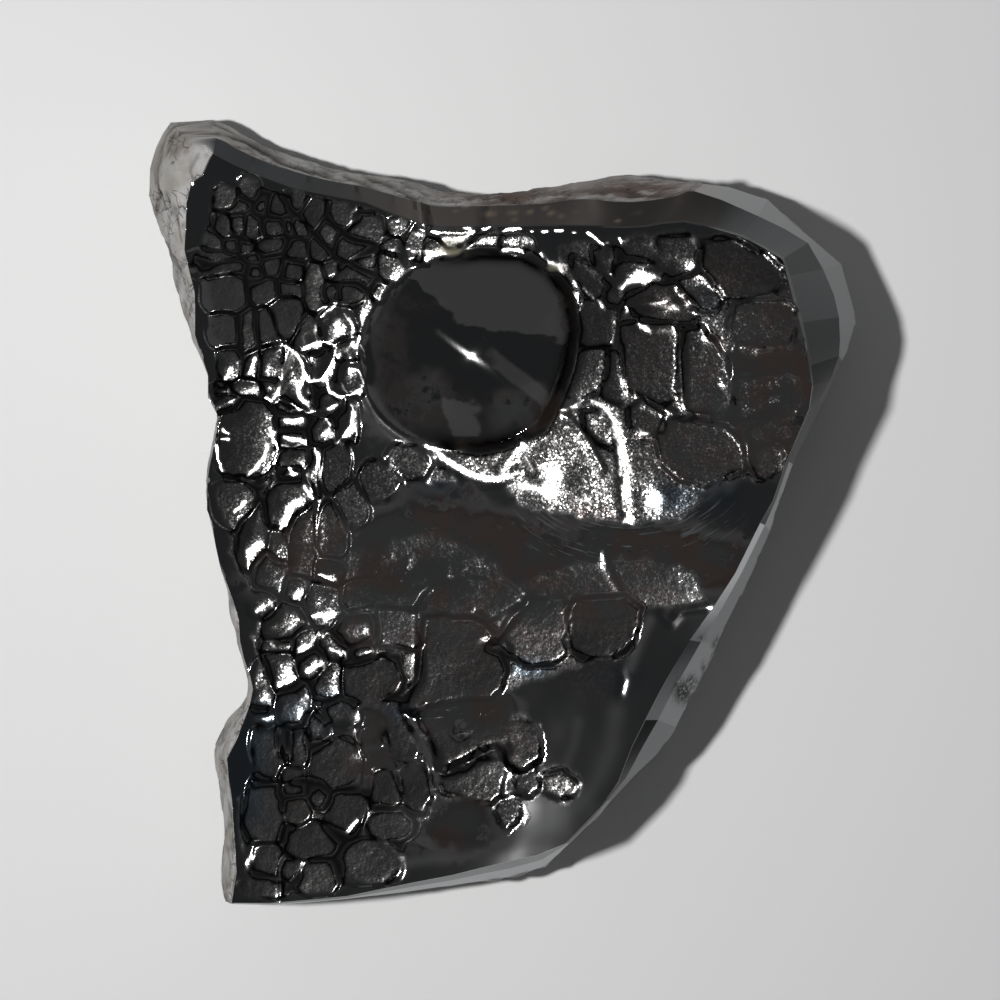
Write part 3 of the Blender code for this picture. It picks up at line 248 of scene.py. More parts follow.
# Parts of the skin whose furrows have dull flanks and a wider painted shade, as outlines
CALM_FIELDS = [
    [(232, 700), (330, 690), (345, 535), (740, 535), (740, 630), (640, 780), (560, 860), (230, 900)],
    [(690, 235), (800, 255), (800, 500), (720, 500), (680, 430), (690, 330)],
]

# Matte dark patches: plan position, width, height and strength
MATTE = [(425, 573, 260, 110, 1.0), (380, 560, 110, 80, 1.0), (650, 560, 190, 66, 0.8),
         (772, 400, 130, 110, 1.0), (762, 325, 100, 60, 0.4), (700, 450, 100, 70, 0.4),
         (545, 590, 150, 70, 0.9), (470, 712, 84, 44, 1.0), (455, 826, 110, 60, 0.45),
         (371, 722, 40, 44, 0.6), (376, 762, 60, 34, 0.7),
         (420, 400, 60, 60, 0.5), (520, 410, 70, 40, 0.5), (440, 500, 90, 30, 0.4)]

# Dull skin that lies outside the drawn cells, as outlines
DULL_FIELDS = [
    [(222, 190), (260, 190), (372, 212), (385, 290), (360, 330), (358, 400), (345, 440),
     (345, 700), (268, 700), (255, 600), (238, 560), (226, 490), (228, 420), (222, 330),
     (208, 300), (206, 240)],
    [(480, 440), (505, 432), (535, 430), (560, 412), (600, 402), (640, 400), (660, 440),
     (690, 475), (700, 500), (680, 515), (640, 520), (600, 517), (560, 508), (520, 497),
     (505, 484), (470, 477), (445, 462), (430, 448)],
    [(345, 560), (385, 545), (420, 535), (455, 540), (490, 560), (520, 585), (560, 575),
     (600, 560), (650, 560), (690, 575), (700, 600), (640, 610), (570, 600), (500, 600),
     (440, 585), (350, 585)],
    [(560, 250), (640, 238), (690, 238), (700, 300), (700, 335), (690, 420), (650, 440),
     (620, 425), (600, 400), (580, 400), (570, 330), (570, 290)],
    [(735, 240), (785, 262), (790, 290), (740, 350), (715, 340), (700, 300), (700, 240)],
    [(660, 420), (745, 425), (750, 470), (700, 490), (665, 470)],
    [(345, 610), (500, 610), (570, 605), (640, 610), (635, 650), (560, 665), (500, 690),
     (420, 705), (345, 700)],
    [(240, 800), (300, 780), (420, 770), (430, 810), (400, 850), (350, 880), (250, 895)],
]
# Rim of the worked face, clockwise from the top left corner
RIM = [(213, 154), (234, 165), (262, 177), (295, 189), (331, 196), (366, 203), (390, 213),
       (423, 225), (444, 228), (484, 227), (540, 226), (582, 227), (624, 228), (645, 227),
       (662, 224), (684, 222), (708, 227), (740, 236), (762, 247), (782, 259), (787, 276),
       (793, 299), (800, 323), (805, 344), (809, 366), (812, 386), (809, 409), (785, 465),
       (773, 500), (760, 523), (735, 573), (712, 609), (689, 640), (661, 689), (645, 720),
       (632, 746), (618, 782), (602, 805), (590, 818), (566, 843), (537, 855), (509, 861),
       (480, 868), (452, 875), (410, 883), (381, 889), (347, 896), (305, 900), (270, 903),
       (232, 903), (237, 872), (234, 830), (232, 800), (229, 780), (227, 759), (236, 742),
       (244, 721), (250, 704), (253, 689), (250, 675), (244, 658), (240, 641), (239, 620),
       (233, 600), (226, 581), (220, 566), (215, 543), (212, 522), (207, 510), (207, 495),
       (208, 476), (211, 460), (217, 430), (218, 416), (208, 397), (208, 375), (195, 335),
       (195, 293), (188, 265), (185, 250), (187, 203), (192, 183), (203, 176), (210, 160)]

# Side of the stone at chosen rim points: rim (u, v), edge below it (u, v, height) and widest
# line (u, v, height).  The sides are lofted through these three lines and on to the underside.
SIDES = [
    ((213, 154), (214, 136, 16), (208, 119.5, 6)), ((234, 165), (238, 148, 16.5), (232, 128, 6)),
    ((262, 177), (262, 159, 17), (272, 149, 6.5)), ((295, 189), (295, 170, 18), (300, 160, 7)),
    ((331, 196), (330, 179, 18.5), (331, 169, 8)), ((366, 203), (362, 185, 19), (364, 174, 8)),
    ((390, 213), (390, 193, 19.5), (392, 178, 8)), ((423, 225), (420, 201, 20), (418, 184, 8)),
    ((444, 228), (440, 206, 20.5), (440, 192, 8)), ((484, 227), (484, 205, 21), (478, 194, 9)),
    ((540, 226), (540, 203, 22), (538, 187, 9)), ((582, 227), (580, 199, 22.5), (590, 180, 9)),
    ((624, 228), (620, 202, 23), (635, 178, 9)), ((645, 227), (645, 201, 23.5), (664, 182, 11)),
    ((662, 224), (672, 197, 24), (680, 184, 13)), ((684, 222), (694, 191, 24.5), (704, 184, 14)),
    ((708, 227), (722, 200, 24.8), (729, 187, 11)), ((740, 236), (758, 216, 24.8), (768, 200, 10)),
    ((762, 247), (785, 229, 23.5), (790, 221, 13)), ((782, 259), (808, 243, 21.5), (812, 239, 15)),
    ((787, 276), (823, 269, 20.5), (841, 264, 12)), ((793, 299), (834, 295, 21), (852, 303, 13)),
    ((800, 323), (839, 317, 22.5), (855, 323, 15)), ((805, 344), (840, 340, 23.5), (847, 351, 18)),
    ((809, 366), (839, 356, 23.2), (842, 361, 19)), ((812, 386), (831, 378, 23.6), (834, 381, 20)),
    ((809, 409), (819, 401, 25), (823, 403, 22)), ((785, 465), (789, 462, 27), (793, 464, 24)),
    ((773, 500), (776, 500, 26.3), (778, 503, 24)), ((760, 523), (765, 525, 25.8), (769, 530, 23)),
    ((735, 573), (742, 572, 25), (750, 574, 21)), ((712, 609), (722, 608, 24.5), (733, 610, 21)),
    ((689, 640), (701, 642, 24), (715, 645, 21)), ((661, 689), (674, 689, 23), (691, 696, 18.5)),
    ((645, 720), (658, 720, 22), (676, 727, 17.5)), ((632, 746), (643, 746, 21.5), (657, 754, 17)),
    ((618, 782), (626, 778, 20.5), (636, 774, 17)), ((602, 805), (607, 801, 20), (612, 800, 16)),
    ((590, 818), (593, 818, 19.5), (596, 817, 16)), ((566, 843), (569, 843, 17.5), (572, 841, 14)),
    ((537, 855), (541, 860, 16), (545, 866, 10)), ((509, 861), (511, 868, 16), (513, 876, 10)),
    ((480, 868), (481, 874, 16.5), (482, 881, 10)), ((452, 875), (453, 880, 16.5), (453, 885, 11)),
    ((410, 883), (411, 887, 17), (411, 891, 12)), ((347, 896), (347, 898, 17.5), (346, 899, 14)),
    ((305, 900), (304, 902, 17.5), (304, 903, 14)), ((270, 903), (269, 905, 17.5), (269, 905, 13)),
    ((232, 903), (230, 904, 16.5), (229, 904, 11)), ((237, 872), (231, 872, 15), (221, 874, 8)),
    ((234, 830), (229, 830, 15), (225, 828, 8)), ((229, 780), (224, 780, 15.5), (218, 778, 8)),
    ((227, 759), (222, 757, 15.5), (215, 750, 8)), ((236, 742), (230, 738, 16), (219, 737, 8)),
    ((244, 721), (238, 721, 17), (229, 719, 8)), ((253, 689), (251, 690, 17.5), (248, 691, 11)),
    ((240, 641), (239, 641, 17.5), (240, 641, 10)), ((220, 566), (219, 566, 17.5), (220, 566, 10)),
    ((207, 495), (206, 495, 17), (207, 495, 9)), ((218, 416), (216, 416, 17), (216, 416, 9)),
    ((208, 375), (206, 375, 16.5), (205, 375, 9)), ((195, 335), (192, 334, 15.5), (189, 331, 8)),
    ((195, 293), (188, 294, 15), (176, 292, 7.5)), ((188, 265), (180, 265, 14.5), (171, 262, 7)),
    ((185, 250), (176, 248, 14.5), (166, 243, 7)), ((187, 203), (172, 208, 14), (154, 208, 6.5)),
    ((192, 183), (172, 184, 14), (150, 184, 6)), ((203, 176), (172, 160, 14), (153, 160, 6)),
    ((210, 160), (188, 138, 14.5), (172, 124, 6)),
]
NATURAL_SIDES = (48, 15)    # the sides from the one number round to the other are left rough
GROUND_BANDS = (0, 15)      # between these sides the band under the rim is ground smooth

# How far the worked face leans from its dish: plan position, then extra rise in 1 mm to the right
# and in 1 mm up the drawing
FACE_LEANS = [
    (235, 350, 0.14, -0.04), (250, 220, 0.19, -0.03), (360, 230, 0.17, 0.00),
    (325, 370, 0.08, -0.06), (290, 470, 0.12, -0.06), (260, 560, 0.12, -0.06),
    (300, 700, 0.13, -0.07), (280, 850, 0.14, -0.08), (380, 800, 0.14, -0.05),
    (450, 850, 0.14, -0.03),
    (450, 700, 0.13, -0.03), (600, 730, 0.14, 0.04), (480, 590, 0.11, 0.00),
    (600, 600, 0.12, 0.03), (670, 590, 0.13, 0.00), (740, 530, 0.12, 0.07),
    (480, 500, 0.12, 0.00), (555, 480, 0.10, 0.01),
    (655, 500, 0.10, 0.03), (600, 450, 0.13, 0.03), (700, 440, 0.12, 0.07), (600, 420, 0.11, 0.03),
    (800, 350, 0.15, 0.09), (740, 265, 0.14, 0.08), (650, 320, 0.11, 0.06),
    (540, 240, 0.13, 0.04), (468, 351, 0.03, -0.03), (500, 380, 0.06, -0.02),
    (360, 400, 0.12, -0.03),
]
# Wanted heights of the worked face: plan position and millimetres above the table
FACE_HEIGHTS = [(800, 350, 28.9), (735, 565, 26.0), (593, 812, 21.5), (235, 895, 15.0),
                (205, 450, 13.0), (213, 160, 13.8), (500, 235, 22.0)]

# Outline of the dome and the moat around it
DOME_OUTLINE = [(440, 262), (480, 256), (520, 257), (548, 272), (566, 295), (572, 330), (566, 365),
                (556, 395), (540, 425), (512, 440), (478, 446), (442, 440), (405, 436), (380, 420),
                (367, 395), (364, 370), (366, 335), (376, 305), (392, 285), (411, 271)]

# Cells of the natural skin: plan position, width, height and turn in degrees
# Each family also has a style: the slope at its edge, the plan steps over which it levels off, the
# depth of the furrow around it in millimetres, the furrow's half width, the plan steps by which
# a cell may grow past its own outline, and how far its cells are tipped, as a rise in 1 mm to the
# right and in 1 mm up the drawing.
CROWDED_CELLS = ((0.08, 6.0, 0.01, 2.0, 9.0, -0.06, -0.10), [
    (225, 199, 10, 13, 0), (250, 192, 11, 17, 0), (240, 208, 24, 10, 34), (259, 206, 11, 14, 0),
    (254, 225, 14, 24, 0), (237, 222, 14, 16, 0), (225, 226, 12, 16, 0), (215, 242, 11, 9, 0),
    (233, 244, 14, 12, 0), (220, 257, 30, 11, 10), (248, 247, 15, 15, 0), (227, 267, 38, 13, 0),
    (253, 258, 13, 10, 0), (279, 208, 19, 15, 0), (295, 201, 12, 12, 0), (313, 215, 15, 19, 0),
    (342, 214, 18, 18, 0), (300, 229, 13, 15, 0), (273, 226, 17, 20, 20), (287, 228, 8, 15, 20),
    (273, 245, 22, 13, 20), (329, 236, 15, 23, 0), (297, 250, 14, 18, 0), (321, 250, 18, 20, 0),
    (349, 248, 27, 16, 0), (367, 229, 24, 17, 0), (365, 262, 16, 16, 0), (256, 274, 14, 15, 0),
    (275, 267, 18, 16, 0), (294, 272, 17, 18, 0), (265, 290, 26, 20, 0), (291, 289, 20, 15, 0),
    (225, 292, 34, 30, 0), (315, 285, 18, 34, 0), (331, 268, 14, 13, 0), (352, 275, 26, 13, 0),
    (333, 292, 14, 12, 0), (349, 293, 14, 15, 0), (224, 329, 24, 26, 0), (245, 330, 11, 24, 0),
    (267, 327, 17, 24, 0), (288, 315, 26, 34, 0), (306, 332, 18, 24, 0), (396, 228, 14, 12, 0),
    (392, 245, 15, 14, 0), (413, 241, 22, 24, 0), (430, 248, 15, 17, 0), (459, 236, 34, 11, 0),
    (484, 242, 24, 17, 0), (513, 247, 24, 14, 0), (388, 267, 16, 22, 0), (383, 287, 12, 14, 0),
])
ROUND_CELLS = ((0.30, 14.0, 0.02, 2.4, 9.0, -0.02, -0.08), [
    (336, 326, 26, 26, 0), (347, 346, 13, 15, 0), (297, 392, 15, 44, 12), (331, 407, 18, 14, 0),
    (293, 409, 17, 11, 0), (292, 423, 25, 13, 0), (293, 438, 28, 14, 0), (320, 434, 24, 25, 0),
    (229, 368, 11, 26, 0), (252, 365, 10, 17, 0), (271, 365, 18, 26, 0), (247, 391, 29, 12, 0),
    (269, 388, 14, 17, 0), (350, 380, 14, 22, 0), (296, 458, 28, 16, 0), (317, 460, 11, 31, 0),
    (292, 473, 12, 10, 0), (234, 500, 30, 38, 0), (287, 505, 46, 25, 58), (254, 536, 20, 40, 0),
    (278, 549, 11, 30, 0), (272, 573, 26, 32, 0), (301, 548, 16, 60, 0), (297, 589, 19, 22, 0),
    (262, 603, 17, 16, 0), (323, 604, 32, 33, 0), (289, 622, 36, 30, 55), (302, 646, 14, 20, 0),
    (284, 647, 18, 11, 0), (335, 650, 18, 13, -30), (314, 664, 22, 16, 0), (282, 672, 26, 30, 0),
    (263, 690, 16, 32, 0), (294, 706, 22, 36, 0), (263, 719, 15, 14, 0), (330, 682, 18, 34, 0),
    (356, 630, 28, 27, 0), (362, 650, 12, 8, 0), (330, 571, 18, 22, 0), (242, 478, 20, 10, 0),
    (345, 420, 14, 30, 0), (227, 403, 18, 14, 0), (222, 392, 14, 10, 0),
])
LOW_CELLS = ((0.07, 9.0, 0.01, 2.4, 6.0, 0.03, -0.08), [
    (267, 755, 25, 50, 0), (285, 747, 9, 20, 0), (299, 750, 20, 27, 0), (318, 730, 14, 28, 0),
    (340, 710, 32, 22, 0), (332, 765, 52, 50, 0), (370, 739, 18, 18, 0), (266, 810, 35, 58, 0),
    (290, 774, 24, 16, 0), (293, 790, 22, 14, 0), (296, 812, 22, 24, 0), (319, 790, 20, 26, 0),
    (345, 810, 30, 44, 0), (312, 840, 48, 28, 0), (386, 789, 28, 32, 0), (391, 824, 35, 30, 0),
    (369, 862, 56, 36, 0), (268, 862, 21, 34, 0), (293, 868, 21, 16, 0), (318, 876, 36, 30, 0),
    (262, 887, 34, 18, 0),
])
FLAT_CELLS = ((0.05, 8.0, 0.01, 2.4, 5.0, 0.04, -0.04), [
    (408, 463, 36, 30, 0), (379, 482, 34, 34, 0), (440, 477, 16, 12, 0), (352, 505, 30, 40, 0),
    (335, 465, 26, 44, 0), (334, 530, 26, 44, 0), (411, 418, 12, 12, 0),
])

# Flat-topped plates of the skin, each drawn with its own outline
RIGHT_PLATES = ((0.14, 7.0, 0.02, 2.4, 3.0, 0.01, 0.05), [
    [(622, 328), (645, 323), (672, 325), (679, 335), (677, 372), (675, 398), (660, 406),
     (640, 396), (624, 388), (619, 350)],
    [(686, 334), (700, 331), (716, 345), (727, 360), (729, 385), (727, 415), (708, 415),
     (686, 408), (684, 370)],
    [(700, 242), (735, 241), (764, 256), (780, 270), (781, 287), (768, 296), (735, 296),
     (712, 290), (702, 270)],
    [(735, 305), (750, 299), (775, 303), (792, 308), (794, 330), (788, 346), (760, 350),
     (738, 345), (729, 325)],
    [(737, 380), (770, 376), (797, 380), (801, 400), (796, 417), (783, 423), (765, 412),
     (748, 419), (737, 422)],
    [(743, 430), (765, 420), (786, 427), (790, 435), (775, 440), (751, 441)],
    [(671, 420), (705, 423), (728, 429), (740, 441), (745, 456), (743, 468), (725, 474),
     (705, 482), (680, 478), (662, 462), (657, 445), (664, 431)],
    [(752, 448), (775, 446), (783, 453), (778, 470), (768, 479), (758, 477), (751, 462)],
    [(640, 403), (663, 413), (659, 425), (651, 438), (640, 441), (632, 425), (631, 411)],
])
MIDDLE_PLATES = ((0.09, 7.0, 0.02, 2.6, 3.0, 0.03, -0.07), [
    [(346, 584), (375, 580), (415, 582), (432, 586), (418, 600), (412, 607), (396, 606),
     (370, 602), (350, 606), (344, 600)],
    [(434, 587), (470, 581), (505, 586), (522, 600), (505, 612), (490, 617), (455, 614),
     (432, 607), (424, 600)],
    [(379, 611), (418, 613), (418, 640), (413, 649), (398, 645), (380, 643)],
    [(423, 618), (478, 618), (493, 634), (486, 648), (500, 656), (504, 672), (497, 690),
     (490, 697), (470, 698), (450, 699), (430, 705), (413, 713), (409, 700), (420, 680)],
    [(505, 628), (530, 601), (562, 600), (566, 625), (560, 637), (567, 652), (552, 662),
     (530, 665), (508, 655), (501, 642)],
    [(572, 600), (625, 598), (640, 610), (634, 640), (612, 656), (590, 660), (574, 650),
     (570, 625)],
    [(345, 668), (365, 664), (383, 656), (395, 660), (401, 680), (398, 690), (385, 700),
     (372, 706), (346, 700)],
    [(389, 699), (402, 702), (405, 725), (418, 746), (417, 760), (400, 761), (389, 748),
     (385, 716)],
    [(420, 718), (444, 717), (449, 726), (447, 736), (456, 742), (475, 733), (490, 712),
     (500, 706), (505, 721), (534, 723), (540, 745), (538, 760), (520, 769), (506, 764),
     (503, 752), (497, 746), (478, 748), (464, 758), (450, 767), (439, 767), (432, 745)],
    [(441, 776), (465, 771), (480, 761), (499, 758), (502, 775), (500, 795), (492, 803),
     (478, 802), (468, 797), (445, 791)],
    [(514, 775), (533, 768), (540, 780), (531, 793), (518, 788)],
    [(498, 800), (520, 796), (521, 815), (508, 829), (495, 813)],
    [(543, 776), (562, 771), (577, 783), (570, 794), (558, 795), (544, 789)],
    [(401, 769), (420, 766), (430, 776), (431, 795), (424, 811), (409, 811), (401, 799)],
])

COLLAR_PLATES = ((0.17, 9.0, 0.02, 2.4, 3.0, -0.01, -0.01), [
    [(575, 258), (590, 268), (604, 288), (600, 300), (586, 292), (574, 276)],
    [(596, 250), (612, 248), (616, 262), (610, 276), (600, 272)],
    [(620, 246), (640, 243), (652, 250), (655, 262), (640, 260), (624, 257)],
    [(612, 263), (640, 261), (656, 264), (658, 273), (640, 283), (628, 292), (617, 280)],
    [(660, 240), (690, 237), (701, 248), (700, 266), (676, 279), (664, 270)],
    [(629, 300), (655, 285), (674, 283), (688, 300), (700, 313), (690, 323), (660, 319),
     (634, 313)],
    [(677, 280), (701, 268), (722, 287), (715, 305), (700, 313), (688, 298)],
    [(604, 292), (616, 284), (626, 295), (620, 306), (609, 305)],
    [(580, 300), (602, 302), (616, 310), (616, 330), (610, 346), (586, 347), (578, 330)],
    [(566, 353), (604, 350), (606, 372), (596, 392), (576, 400), (560, 388)],
    [(608, 352), (620, 350), (624, 388), (622, 402), (606, 398), (600, 388)],
    [(584, 412), (604, 410), (612, 428), (610, 446), (598, 440), (586, 424)],
    [(552, 270), (570, 276), (577, 300), (577, 330), (566, 330), (560, 300)],
])

# The one large kidney-shaped pillow at the left edge
KIDNEY = ((0.34, 22.0, 0.03, 3.0, 3.0, 0.02, -0.10), [
    [(226, 412), (243, 402), (264, 402), (274, 414), (278, 432), (276, 450), (268, 466),
     (256, 478), (243, 484), (230, 481), (220, 468), (217, 445), (219, 424)],
])

# Raised lines of the skin: width in plan steps, rise in millimetres, points
RIDGES = [
    (5.0, 0.09, [(319, 322), (325, 310), (336, 304), (348, 311), (353, 323), (352, 340)]),
    (5.0, 0.10, [(300, 345), (305, 364), (312, 378), (319, 381), (327, 372), (337, 348),
                 (333, 341), (318, 341), (306, 347)]),
    (5.0, 0.09, [(344, 367), (356, 366), (363, 375), (361, 388), (347, 395), (332, 386)]),
    (4.2, 0.07, [(345, 348), (350, 360), (344, 380), (348, 390)]),
    (4.2, 0.07, [(363, 346), (368, 366), (367, 384)]),
    (6.0, 0.11, [(356, 400), (352, 419), (339, 441)]),
    (5.5, 0.10, [(279, 343), (291, 352), (288, 372), (281, 386), (273, 399)]),
    (4.4, 0.08, [(299, 400), (313, 412), (324, 414), (334, 406)]),
    (4.4, 0.08, [(305, 470), (307, 484), (312, 499)]),
    (4.4, 0.05, [(316, 500), (320, 530), (316, 571), (337, 582)]),
    (3.5, 0.07, [(318, 637), (334, 623)]),
    (5.2, 0.13, [(424, 443), (435, 453), (447, 462), (460, 470), (473, 477), (487, 481),
                 (500, 481), (509, 477), (515, 471)]),
    (5.0, 0.10, [(500, 470), (513, 455), (521, 441), (528, 452), (536, 464)]),
    (4.6, 0.10, [(560, 410), (580, 405), (595, 403), (606, 410), (613, 420), (617, 435),
                 (620, 452), (623, 470), (623, 493), (626, 506), (626, 523)]),
    (4.5, 0.09, [(529, 252), (547, 257), (563, 270), (571, 280), (576, 300), (578, 328)]),
    (4.0, 0.08, [(411, 271), (393, 285), (383, 299), (368, 325), (364, 347), (364, 360),
                 (365, 380)]),
    (4.0, 0.10, [(418, 228), (435, 232), (461, 233), (485, 230), (513, 231), (544, 231),
                 (575, 232), (601, 237), (621, 240)]),
    (4.0, 0.09, [(620, 243), (640, 243), (653, 249), (659, 259), (660, 273), (657, 279)]),
    (4.0, 0.10, [(601, 268), (620, 288), (640, 284), (658, 274)]),
    (5.0, 0.10, [(630, 303), (655, 303), (680, 308), (694, 312)]),
    (3.5, 0.07, [(673, 287), (685, 305)]),
    (3.5, 0.07, [(381, 841), (400, 856)]),
    (3.5, 0.07, [(255, 844), (243, 865)]),
    (3.5, 0.07, [(621, 669), (624, 680), (620, 694)]),
    (4.0, 0.08, [(661, 614), (671, 624), (681, 611), (706, 607)]),
]

# Sunken lines: width in plan steps, depth in millimetres, points
GROOVES = [
    (4.2, 0.14, [(681, 330), (681, 405)]),
    (4.2, 0.14, [(640, 400), (663, 410), (681, 414), (706, 418), (727, 422), (739, 433),
                 (748, 448), (749, 466)]),
    (4.2, 0.14, [(672, 417), (656, 440)]),
    (3.8, 0.11, [(744, 426), (767, 414)]),
    (3.8, 0.11, [(733, 345), (733, 420)]),
    (3.4, 0.16, [(478, 615), (497, 636), (508, 649)]),
    (3.4, 0.16, [(529, 598), (497, 637), (485, 643)]),
    (3.0, 0.07, [(605, 549), (606, 566), (623, 599)]),
    (5.1, 0.20, [(410, 715), (422, 737), (434, 757), (436, 771), (452, 770), (474, 759),
                 (490, 751), (505, 748)]),
    (3.4, 0.16, [(420, 606), (420, 680), (408, 692)]),
    (3.0, 0.11, [(359, 822), (347, 836)]),
    (3.0, 0.11, [(281, 875), (281, 901)]),
    (3.0, 0.11, [(566, 416), (585, 437), (603, 470)]),
]

# Sunken places: plan position, width, height and depth in millimetres
HOLLOWS = [(757, 361, 78, 34, 0.07), (371, 722, 28, 34, 0.18), (376, 762, 44, 24, 0.18),
           (470, 712, 60, 26, 0.25), (455, 826, 92, 44, 0.20), (311, 390, 16, 16, 0.15),
           (315, 362, 22, 22, 0.18), (700, 300, 26, 20, 0.10)]

# Tipped places of the skin: plan position, width, height, and the rise in 1 mm to the right and in
# 1 mm up the drawing
TIPPED_PLACES = [(468, 351, 250, 250, -0.055, -0.03), (554, 482, 34, 40, -0.10, -0.01),
                 (650, 500, 30, 32, -0.09, -0.03), (508, 458, 40, 26, -0.07, 0.02),
                 (585, 425, 44, 30, -0.05, -0.01), (690, 268, 34, 22, -0.13, -0.11),
                 (590, 250, 50, 20, -0.08, -0.06)]


def from_plan(u, v, height):
    """Turn a plan position and a height into x and y in millimetres about the footprint's middle."""
    spread = GRID * (EYE_LEVEL - height) / (EYE_LEVEL - PLAN_LEVEL)
    x = (u - PLAN_MIDDLE[0]) * spread + CENTRE_SHIFT[0]
    y = (PLAN_MIDDLE[1] - v) * spread + CENTRE_SHIFT[1]
    return x, y


def smooth_step(value):
    """0 below 0, 1 above 1 and an S-curve between."""
    t = np.clip(value, 0.0, 1.0)
    return t * t * (3.0 - 2.0 * t)


def bulge(value):
    """0 at 0, rising to 1 at 1 like the side of a parabola, and 1 from there on."""
    return 1.0 - (1.0 - np.clip(value, 0.0, 1.0)) ** 2


def dish(u, v):
    """Height of the shallow tipped dish that the worked face follows."""
    x, y = (u - PLAN_MIDDLE[0]) * GRID, (PLAN_MIDDLE[1] - v) * GRID
    return DISH_TIP * x + (x * x + y * y) / (2 * DISH_RADIUS)


def leaning_sheet(leans, heights):
    """Return the smooth sheet over the dish that best follows the leans and the wanted heights."""
    leans, heights = np.array(leans), np.array(heights)
    spots = np.concatenate([leans[:, :2], heights[:, :2]])
    step = LEAN_REACH * GRID

    def bowls(u, v):
        across = (np.asarray(u)[..., None] - spots[:, 0]) / LEAN_REACH
        down = (np.asarray(v)[..., None] - spots[:, 1]) / LEAN_REACH
        return across, down, np.sqrt(across * across + down * down + 1.0)

    across, down, bowl = bowls(leans[:, 0], leans[:, 1])
    none, one = np.zeros((len(leans), 1)), np.ones((len(leans), 1))
    rightward = np.hstack([across / bowl / step, none, one / step, none])
    upward = np.hstack([-down / bowl / step, none, none, -one / step])
    bowl = bowls(heights[:, 0], heights[:, 1])[2]
    level = np.hstack([bowl, np.ones((len(heights), 1)), heights[:, :2] / LEAN_REACH])
    calm = LEAN_CALM * np.eye(len(spots) + 3)
    calm[-3:] = 0.0
    system = np.vstack([rightward, upward, HEIGHT_PULL * level, calm])
    lift = heights[:, 2] - dish(heights[:, 0], heights[:, 1])
    wanted = np.concatenate([leans[:, 2], leans[:, 3], HEIGHT_PULL * lift,
                             np.zeros(len(spots) + 3)])
    weights = np.linalg.lstsq(system, wanted, rcond=None)[0]

    def height(u, v):
        plane = weights[-3] + weights[-2] * u / LEAN_REACH + weights[-1] * v / LEAN_REACH
        return dish(u, v) + plane + bowls(u, v)[2] @ weights[:-3]

    return height


def ripple(u, v, size, seed):
    """Smooth random ripple between -1 and 1, about size plan steps from swell to swell."""
    u, v = u / size + 37.7 * seed, v / size + 91.3 * seed
    cell_u, cell_v = np.floor(u), np.floor(v)
    share_u, share_v = smooth_step(u - cell_u), smooth_step(v - cell_v)

    def knot(ku, kv):
        scatter = np.sin(ku * 127.1 + kv * 311.7) * 43758.5453
        return scatter - np.floor(scatter)

    upper = knot(cell_u, cell_v) * (1 - share_u) + knot(cell_u + 1, cell_v) * share_u
    lower = knot(cell_u, cell_v + 1) * (1 - share_u) + knot(cell_u + 1, cell_v + 1) * share_u
    return 2.0 * (upper * (1 - share_v) + lower * share_v) - 1.0


def distance_to_line(u, v, points, closed=False):
    """Shortest plan distance from each (u, v) to a line through the points."""
    nearest = np.full(np.shape(u), 1e9)
    ends = points[1:] + points[:1] if closed else points[1:]
    for (au, av), (bu, bv) in zip(points, ends):
        du, dv = bu - au, bv - av
        along = np.clip(((u - au) * du + (v - av) * dv) / (du * du + dv * dv), 0.0, 1.0)
        nearest = np.minimum(nearest, np.hypot(u - au - along * du, v - av - along * dv))
    return nearest


def distance_to_outline(u, v, points):
    """Plan distance to a closed outline, negative inside it."""
    inside = np.zeros(np.shape(u), dtype=bool)
    for (au, av), (bu, bv) in zip(points, points[1:] + points[:1]):
        if av != bv:
            crosses = (av > v) != (bv > v)
            inside ^= crosses & (u < (bu - au) * (v - av) / (bv - av) + au)
    distance = distance_to_line(u, v, points, closed=True)
    return np.where(inside, -distance, distance)


def distance_to_cell(u, v, cell):
    """Plan distance to an oval cell, negative inside it."""
    cu, cv, width, height, turn = cell
    turn = math.radians(turn)
    across = ((u - cu) * math.cos(turn) - (v - cv) * math.sin(turn)) / (width / 2)
    down = ((u - cu) * math.sin(turn) + (v - cv) * math.cos(turn)) / (height / 2)
    corners = np.abs(across) ** CELL_SQUARENESS + np.abs(down) ** CELL_SQUARENESS
    oval = corners ** (1 / CELL_SQUARENESS)
    return (oval - 1.0) * min(width, height) / 2


def own_style(style, middle):
    """A family's style with the slope and tips of the member that has this middle."""
    slope, reach, furrow, half_width, grow, tip_right, tip_up = style
    chance = random.Random(round(middle[0]) * 1000 + round(middle[1]))
    slope *= chance.uniform(1.0 - SLOPE_VARIETY, 1.0 + SLOPE_VARIETY)
    tip_right += chance.uniform(-TIP_VARIETY, TIP_VARIETY)
    tip_up += chance.uniform(-TIP_VARIETY, TIP_VARIETY)
    return slope, reach, furrow, half_width, grow, tip_right, tip_up


def skin_members(u, v):
    """Each cell and plate of the skin: its plan distance, its middle and its style."""
    for style, plates in (RIGHT_PLATES, MIDDLE_PLATES, COLLAR_PLATES, KIDNEY):
        for plate in plates:
            middle = np.mean(plate, axis=0)
            yield distance_to_outline(u, v, plate), middle, own_style(style, middle)
    for style, cells in (CROWDED_CELLS, ROUND_CELLS, LOW_CELLS, FLAT_CELLS):
        for cell in cells:
            yield distance_to_cell(u, v, cell), cell[:2], own_style(style, cell[:2])


